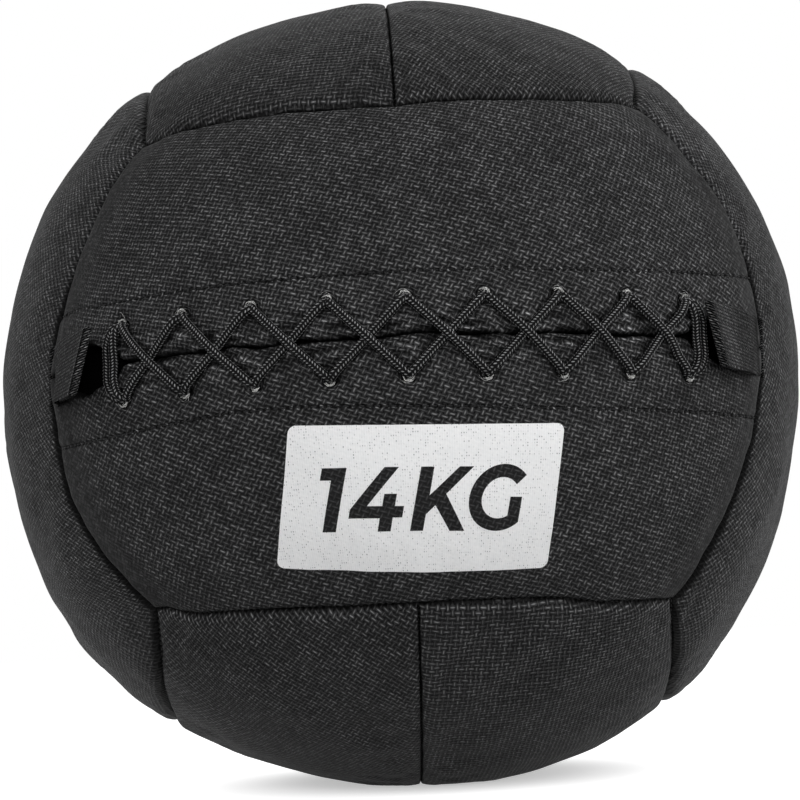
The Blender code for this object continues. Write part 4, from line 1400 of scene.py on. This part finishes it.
def ring_stitches(rng):
    """Short dark stitches round the bore, paler on the side away from the slit."""
    count = EYELET_STITCHES
    angle = np.arange(count) * math.tau / count + rng.normal(0, 0.05, count)
    outer = EYELET_RING + rng.uniform(0.0005, 0.0011, count)
    part = np.linspace(0, 1, 7)
    radius = EYELET_RING + (outer[:, None] - EYELET_RING) * part
    level = 0.0004 * np.sin(part * math.pi) - 0.0010 * (1 - part) ** 3 - 0.0001 * part
    level = level * rng.uniform(0.7, 1.3, (count, 1)) - 0.0007
    spin = angle[:, None] + 0.12 * part * rng.normal(1, 0.7, (count, 1))
    radii = 0.00017 * np.sqrt(np.maximum(0.1, 1 - (2 * part - 1) ** 8))
    tones = np.clip(0.12 * np.sin(angle) + rng.normal(0, 0.10, count), 0, 0.6)
    return eyelet_threads(spin, radius, level, radii, tones)


def frayed_threads(rng, count, spread, thickness):
    """Pale threads frayed out of the stitching, arched over its outer side."""
    part = np.linspace(0, 1, 14)
    start = rng.uniform(0.1, 1.2, (count, 1))
    sweep = rng.uniform(1.0, 2.0, (count, 1))
    radius = EYELET_RING + rng.uniform(0.0000, 0.0007, (count, 1))
    radius = radius + rng.normal(0, spread, (count, 1)) * part
    radius = radius + 0.00012 * np.sin(part * rng.uniform(5, 14, (count, 1)))
    level = rng.uniform(0.0000, 0.0004, (count, 1)) + 0.0005 * np.sin(part * math.pi) - 0.0004
    radii = rng.uniform(*thickness, (count, 1)) * np.sqrt(np.maximum(0.1, 1 - (2 * part - 1) ** 8))
    return eyelet_threads(start + sweep * part, radius, level, radii, rng.uniform(0.6, 1.0, count))


add_eyelets()


def loop_frame(outward, lift_deg):
    """A loop's hinge point, then its axes: along the strap, through it and along its hinge."""
    direction = face_direction("front", outward * float(along_limit("front", 0)), 0.0)
    point = CENTRE + direction * (float(settled_radius(direction)) + LOOP_AXIS_HEIGHT)
    hinge = np.array((0, 0, float(outward)))
    lift = math.radians(lift_deg)
    strap = np.cross(direction, hinge) * math.cos(lift) + direction * math.sin(lift)
    return point, np.array([strap, np.cross(hinge, strap), hinge])


STRAP_EDGE = 0.0005


def strap_arrays(path, normals, width, thickness):
    """Flat strap along a line in x and y, with rounded edges, its width along z."""
    z = np.linspace(-1, 1, 33) * width / 2
    rounded = np.clip((np.abs(z) - width / 2 + STRAP_EDGE) / STRAP_EDGE, 0, 1)
    top = thickness / 2 * np.sqrt(np.maximum(0, 1 - rounded**2))
    profile_z = np.concatenate([z, z[::-1]])
    profile_n = np.concatenate([top, -top[::-1]])
    count, sides = len(path), len(profile_z)
    points, cloth = np.zeros((count, sides, 3)), np.zeros((count, sides, 3))
    points[..., :2] = path[:, None] + normals[:, None] * profile_n[None, :, None]
    points[..., 2] = profile_z
    cloth[..., 0] = lengths_along(path)[:, None]
    cloth[..., 1] = profile_z
    faces = grid_faces(count, sides, wrap=True).tolist()
    faces += [range(sides - 1, -1, -1), range((count - 1) * sides, count * sides)]
    return points.reshape(-1, 3), faces, cloth.reshape(-1, 3)


# Middle lines of the strap's outer and inner layer at its root, from the seam groove up,
# as places along the strap and through it
ROOT_OUTER = [(0.0004, -0.0054), (0.0006, -0.0047), (0.0018, -0.0038), (0.0046, -0.0029), (0.0090, -0.0020)]
ROOT_INNER = [(0.0020, -0.0056), (0.0024, -0.0051), (0.0044, -0.0044), (0.0075, -0.0038), (0.0110, -0.0035)]
STRAP_THICKNESS = 0.0013
STRAP_LOW = -0.0021
STRAP_FOLD_HALF = 0.0010
STRAP_OPEN_HALF = 0.0013
# How far each strap's upper edge leans along the strap and in towards the ball, per height
STRAP_LEANS = {"left": (0.40, 0.15), "right": (0.28, 0.08)}
STRAP_REACHES = {"left": 0.0, "right": 0.0010}
# How far each strap's root is drawn along the strap and down into the seam
STRAP_ROOTS = {"left": (0.0054, 0.0020), "right": (0.0004, 0.0006)}
# Painted light on each strap: how light its outer face is painted, and the painted pale highlight line,
# painted dark gap of shade and painted lit strip at its fold, as tones from places along the strap's own
# length, counted from its fold
STRAP_PAINTED_LIGHT = {"left": 0.60, "right": 0.85}
STRAP_SHADE_REACH = (0.0048, 0.0130)
FOLD_PAINTED_LIGHT = {
    "left": [(-0.0032, 1.0), (-0.0027, 2.3), (-0.0020, 2.3), (-0.0017, 0.05), (-0.0010, 0.05), (-0.0007, 1.7),
             (0.0014, 1.7), (0.0020, 0.2), (0.0060, 0.2), (0.0100, 1.5)],
    "right": [(-0.0220, 0.6), (-0.0130, 1.2), (-0.0070, 1.2), (-0.0030, 0.65), (-0.0004, 0.5), (0.0002, 1.3),
              (0.0008, 1.2), (0.0013, 0.2), (0.0060, 0.2), (0.0100, 1.1)],
}
STRAP_LEAN_REACH = (0.004, 0.034)
STRAP_ROOT_REACH = (0.010, 0.030)
STRAP_INSET, TAIL_INSET = 0.0004, 0.0006
# Places along and through the strap where its bend from the ball to the loop would start and end, which
# nothing here uses, and its tail's
BLEND_START, BLEND_END = (0.0012, -0.0040), (0.0068, 0.0010)
TAIL_PLACES = [(0.0, -0.0056), (0.0, -0.0050), (0.0, -0.0042), (0.0, -0.0034)]


def loop_path():
    """Middle line of the folded strap, up out of the seam, round its fold and back into the seam."""
    fold_start = LOOP_LENGTH - STRAP_THICKNESS / 2 - STRAP_FOLD_HALF
    places = np.linspace(0.016, fold_start, 9)
    halves = STRAP_FOLD_HALF + (STRAP_OPEN_HALF - STRAP_FOLD_HALF) * np.sin(np.linspace(0.3, 1, 9) * math.pi)
    outer = [(x, STRAP_LOW + half) for x, half in zip(places, halves)]
    inner = [(x, STRAP_LOW - half) for x, half in zip(places, halves)][::-1]
    turn = np.linspace(math.pi / 2, -math.pi / 2, 9)[1:-1]
    fold = [(fold_start + STRAP_FOLD_HALF * math.cos(angle), STRAP_LOW + STRAP_FOLD_HALF * math.sin(angle))
            for angle in turn]
    path = [(x, y, 0) for x, y in ROOT_OUTER + outer + fold + inner + ROOT_INNER[::-1]]
    path = smooth_path(path, 0.00045)[:, :2]
    tangent = unit(np.gradient(path, axis=0))
    return path, np.stack([-tangent[:, 1], tangent[:, 0]], axis=1)


def add_loops():
    """Folded webbing loops at both ends of the slit, each with its tail sewn into the seam."""
    path, normals = loop_path()
    for outward, word, lift in ((-1, "left", LEFT_LOOP_LIFT_DEG), (1, "right", RIGHT_LOOP_LIFT_DEG)):
        points, faces, cloth = strap_arrays(path, normals, WEBBING_WIDTH - STRAP_INSET, STRAP_THICKNESS)
        out = smooth_step(points[:, 0], *STRAP_LEAN_REACH)
        lean = out * outward * points[:, 2]
        root = 1 - smooth_step(points[:, 0], *STRAP_ROOT_REACH)
        points[:, 0] += STRAP_LEANS[word][0] * lean + STRAP_ROOTS[word][0] * root
        points[:, 1] -= STRAP_LEANS[word][1] * lean + STRAP_ROOTS[word][1] * root
        points[:, 0] += STRAP_REACHES[word] * smooth_step(points[:, 0], *STRAP_LEAN_REACH)
        cloth[:, 1] *= outward
        middle = cloth[:, 0][np.argmax(path[:, 0]) * (len(cloth) // len(path))]
        # Painted shade towards the root in the seam, times the strap's painted light and its fold's painted
        # light and shade
        shade = STRAP_PAINTED_LIGHT[word] * (0.10 + 0.90 * smooth_step(points[:, 0], *STRAP_SHADE_REACH))
        shade = shade * read_table(FOLD_PAINTED_LIGHT[word], cloth[:, 0] - middle)
        hinge, axes = loop_frame(outward, lift)
        piece = make_piece(f"strap_{word}", hinge + points @ axes, faces, WEBBING,
                           cloth=cloth, shade=np.repeat(shade[:, None], 3, axis=1))
        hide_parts(f"webbing_loop_{word}")
        still, moving = (Vector(hinge + np.array(place) @ axes[:2]) for place in (BLEND_START, BLEND_END))
        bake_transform(piece)
        sideways = np.array([(1.0, 0.0)] * len(TAIL_PLACES))
        width = WEBBING_WIDTH - TAIL_INSET
        points, faces, cloth = strap_arrays(np.array(TAIL_PLACES), sideways, width, WEBBING_THICKNESS)
        hinge, axes = loop_frame(outward, 0)
        # Painted shade over the whole tail, which lies in the seam
        tail = make_piece(f"strap_tail_{word}", sewn(hinge + points @ axes), faces, WEBBING,
                          cloth=cloth, shade=np.full(cloth.shape, 0.3))
        on_ball(tail, "webbing", f"webbing_tail_{word}")


add_loops()

# The label's corners on the laced face, how far its edges bow, and how it lies on the cloth
LABEL_CORNERS = [(-0.0458, -0.0301), (0.0581, -0.0333), (0.0562, -0.0887), (-0.0591, -0.0835)]
LABEL_TOP_BOW, LABEL_BOTTOM_BOW = -0.0009, -0.0022
LABEL_LEFT_BOW, LABEL_RIGHT_BOW = 0.0010, -0.0008
LABEL_ROUND = 0.0030
LABEL_LIFT = 0.00022
INK_LIFT = 0.00034
LABEL_SIZE = 121


def patch_places(corners, s, t):
    """Places in a four-cornered patch, s from its left to its right and t from its top down."""
    tl, tr, br, bl = (np.array(corner) for corner in corners)
    s, t = s[..., None], t[..., None]
    return (tl * (1 - s) + tr * s) * (1 - t) + (bl * (1 - s) + br * s) * t


def add_print(name, flat, faces, material, lift):
    """Printed piece from flat places on the laced face, just over the made cover."""
    arc, rise = flat.T
    base = skin_points("front", arc / BALL_RADIUS, rise / BALL_RADIUS)
    height = swags(base) + laced_detail(arc, rise) + front_wrinkles(arc, rise) + lift
    points = front_points(np.stack([arc, rise, height], axis=-1))
    piece = make_piece(name, points, outward_faces(points, faces), material,
                       cloth=np.column_stack([flat, 0 * arc]), weave=yarn_places("front", -1, arc, rise))
    on_ball(piece, "cover")


def add_label():
    """White label with rounded corners."""
    tl, tr, _, bl = (np.array(corner) for corner in LABEL_CORNERS)
    width, tall = np.linalg.norm(tr - tl), np.linalg.norm(bl - tl)
    s, t = np.meshgrid(np.linspace(0, 1, LABEL_SIZE), np.linspace(0, 1, LABEL_SIZE))
    x, y = (s - 0.5) * width, (t - 0.5) * tall
    inner_x, inner_y = width / 2 - LABEL_ROUND, tall / 2 - LABEL_ROUND
    over_x, over_y = np.maximum(0, np.abs(x) - inner_x), np.maximum(0, np.abs(y) - inner_y)
    shrink = np.minimum(1, LABEL_ROUND / np.maximum(np.hypot(over_x, over_y), 1e-9))
    shrink = np.where((over_x > 0) & (over_y > 0), shrink, 1)
    s = np.where(over_x > 0, np.sign(x) * (inner_x + over_x * shrink), x) / width + 0.5
    t = np.where(over_y > 0, np.sign(y) * (inner_y + over_y * shrink), y) / tall + 0.5
    flat = patch_places(LABEL_CORNERS, s, t)
    flat[..., 0] += (LABEL_LEFT_BOW * (1 - s) + LABEL_RIGHT_BOW * s) * 4 * t * (1 - t)
    flat[..., 1] += (LABEL_TOP_BOW * (1 - t) + LABEL_BOTTOM_BOW * t) * 4 * s * (1 - s)
    add_print("label", flat.reshape(-1, 2), grid_faces(LABEL_SIZE, LABEL_SIZE), LABEL, LABEL_LIFT)


# Corners of the figure on the laced face, then its upright outlines in heights of the figure
FIGURE_CORNERS = [(-0.0349, -0.0465), (0.0436, -0.0492), (0.0407, -0.0734), (-0.0422, -0.0703)]
FIGURE_WIDTH_SHARE = 3.25
FIGURE_CUT = 0.0025
ONE = [(0.02, 1), (0.41, 1), (0.41, 0), (0.20, 0), (0.20, 0.81), (0.02, 0.81)]
FOUR = [(1.00, 1), (1.225, 1), (0.83, 0.40), (1.07, 0.40), (1.07, 0.59), (1.265, 0.59), (1.265, 0.40),
        (1.407, 0.40), (1.407, 0.22), (1.262, 0.22), (1.262, 0), (1.062, 0), (1.062, 0.21), (0.575, 0.21),
        (0.575, 0.35)]
KAY = [(1.57, 1), (1.775, 1), (1.775, 0.557), (2.175, 1), (2.40, 1), (2.03, 0.58), (2.41, 0), (2.18, 0),
       (1.892, 0.405), (1.766, 0.26), (1.766, 0), (1.565, 0)]
GEE_CENTRE = (2.90, 0.52)
GEE_OUTER = (0.50, 0.52)
GEE_INNER = (0.30, 0.32)
GEE_BAR = [(3.245, 0.54), (3.055, 0.54)]


def gee_arc(radii, start_deg, end_deg):
    """Places on an upright oval round the middle of the letter G."""
    angles = np.radians(np.linspace(start_deg, end_deg, 40))
    return [(GEE_CENTRE[0] + radii[0] * math.cos(a), GEE_CENTRE[1] + radii[1] * math.sin(a)) for a in angles]


def add_figure():
    """Plain weight figure, cut fine enough to follow the ball."""
    gee = gee_arc(GEE_OUTER, 43, 313.6) + GEE_BAR + gee_arc(GEE_INNER, 301, 41)
    shape = bmesh.new()
    for outline in (ONE, FOUR, KAY, gee):
        s, up = np.array(outline, float).T
        flat = patch_places(FIGURE_CORNERS, s / FIGURE_WIDTH_SHARE, 1 - up)
        shape.faces.new([shape.verts.new((x, y, 0)) for x, y in flat])
    places = np.array([vertex.co[:2] for vertex in shape.verts])
    for axis, normal in ((0, (1, 0, 0)), (1, (0, 1, 0))):
        for place in np.arange(places[:, axis].min(), places[:, axis].max(), FIGURE_CUT):
            point = [place * part for part in normal]
            geometry = shape.verts[:] + shape.edges[:] + shape.faces[:]
            bmesh.ops.bisect_plane(shape, geom=geometry, plane_co=point, plane_no=normal)
    bmesh.ops.triangulate(shape, faces=shape.faces[:])
    shape.verts.index_update()
    flat = np.array([vertex.co[:2] for vertex in shape.verts])
    faces = np.array([[vertex.index for vertex in face.verts] for face in shape.faces])
    shape.free()
    add_print("weight_figure", flat, faces, INK, INK_LIFT)


add_label()
add_figure()


def add_slab(name, along, across, depth, thickness, node):
    """Layer of cloth behind the slit, with both its sides."""
    outer = lining_points(along, across, depth, "front")
    inner = lining_points(along, across, depth + thickness, "front")
    cloth = np.stack([along * BALL_RADIUS, across * BALL_RADIUS, 0 * along], axis=-1)
    points = np.concatenate([outer, inner[::-1], outer[:1]])
    cloth = np.concatenate([cloth, cloth[::-1], cloth[:1]])
    on_ball(make_piece(name, points, grid_faces(*points.shape[:2]), HEM_CLOTH, cloth=cloth), "hem", node)


def add_layers():
    """Hem facings behind the lips and the tongue that closes the slit."""
    depth = COVER_THICKNESS + LAYER_GAP
    columns = np.linspace(-1, 1, 160)
    outer, widest = HEM_WIDTH / BALL_RADIUS, TONGUE_HALF_HEIGHT / BALL_RADIUS
    hem_reach, tongue_reach = (float(along_limit("front", far)) - HEM_SEAM_ALLOWANCE / BALL_RADIUS
                               for far in (outer, widest))
    for side, word in ((-1, "lower"), (1, "upper")):
        column, row = np.meshgrid(columns, np.linspace(0, 1, 12))
        near = slit_half_gap("front", column * hem_reach)
        across = side * (near + row * (outer - near))
        add_slab(f"hem_{word}", column * hem_reach, across, depth, HEM_THICKNESS, f"hem_facing_{word}")
    column, row = np.meshgrid(columns, np.linspace(-1, 1, 16))
    add_slab("tongue", column * tongue_reach, row * widest, depth + HEM_THICKNESS + LAYER_GAP,
             TONGUE_THICKNESS, "closure_tongue")


add_layers()


def refined(node, name, voxel, material, slot, rough, seed):
    """Finer copy of a hidden CAD solid, with a soft uneven surface."""
    source = show(name + "_source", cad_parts[node].data.copy())
    remesh = source.modifiers.new("remesh", "REMESH")
    remesh.mode = "VOXEL"
    remesh.voxel_size = voxel
    bpy.context.view_layer.update()
    mesh = bpy.data.meshes.new_from_object(source.evaluated_get(bpy.context.evaluated_depsgraph_get()))
    bpy.data.objects.remove(source, do_unlink=True)
    places, normals = np.empty((2, len(mesh.vertices) * 3))
    mesh.vertices.foreach_get("co", places)
    mesh.vertices.foreach_get("normal", normals)
    places, normals = places.reshape(-1, 3), normals.reshape(-1, 3)
    uneven = (waves(places, voxel * 2.5, voxel * 8, seed) - 1) / 2
    places = places + normals * (uneven * rough)[:, None]
    mesh.vertices.foreach_set("co", places.ravel())
    layer = mesh.attributes.new("cloth", "FLOAT_VECTOR", "POINT")
    layer.data.foreach_set("vector", places.astype(np.float32).ravel())
    mesh.shade_smooth()
    mesh.materials.clear()
    mesh.materials.append(material)
    return on_ball(show(name, mesh), slot, node)


def add_filling():
    """Liner, wadding, core bag, its tie and the sand."""
    liner_cloth = plain_cloth_material("liner_cloth", (0.10, 0.10, 0.105), (0.26, 0.26, 0.27), 0.0011, 0.8)
    bag_cloth = plain_cloth_material("core_bag_cloth", (0.16, 0.15, 0.13), (0.40, 0.38, 0.33), 0.0012, 0.85)
    fibre = fibre_material()
    thin = 0.0012
    refined("inner_liner", "liner", thin, liner_cloth, "liner", 0.0002, 11)
    for word in ("lower", "upper"):
        fluff = refined(f"wadding_{word}", f"wadding_{word}_fluff", 0.004, fibre, "wadding", 0.0018, 12)
    refined("core_bag", "core_bag_cloth", thin, bag_cloth, "core_bag", 0.0002, 13)
    refined("core_tie", "core_tie_cord", 0.0007, LACE, "lace", 0.0002, 14)
    refined("iron_sand", "sand", 0.004, sand_material(), "sand", 0.0004, 15)


add_filling()
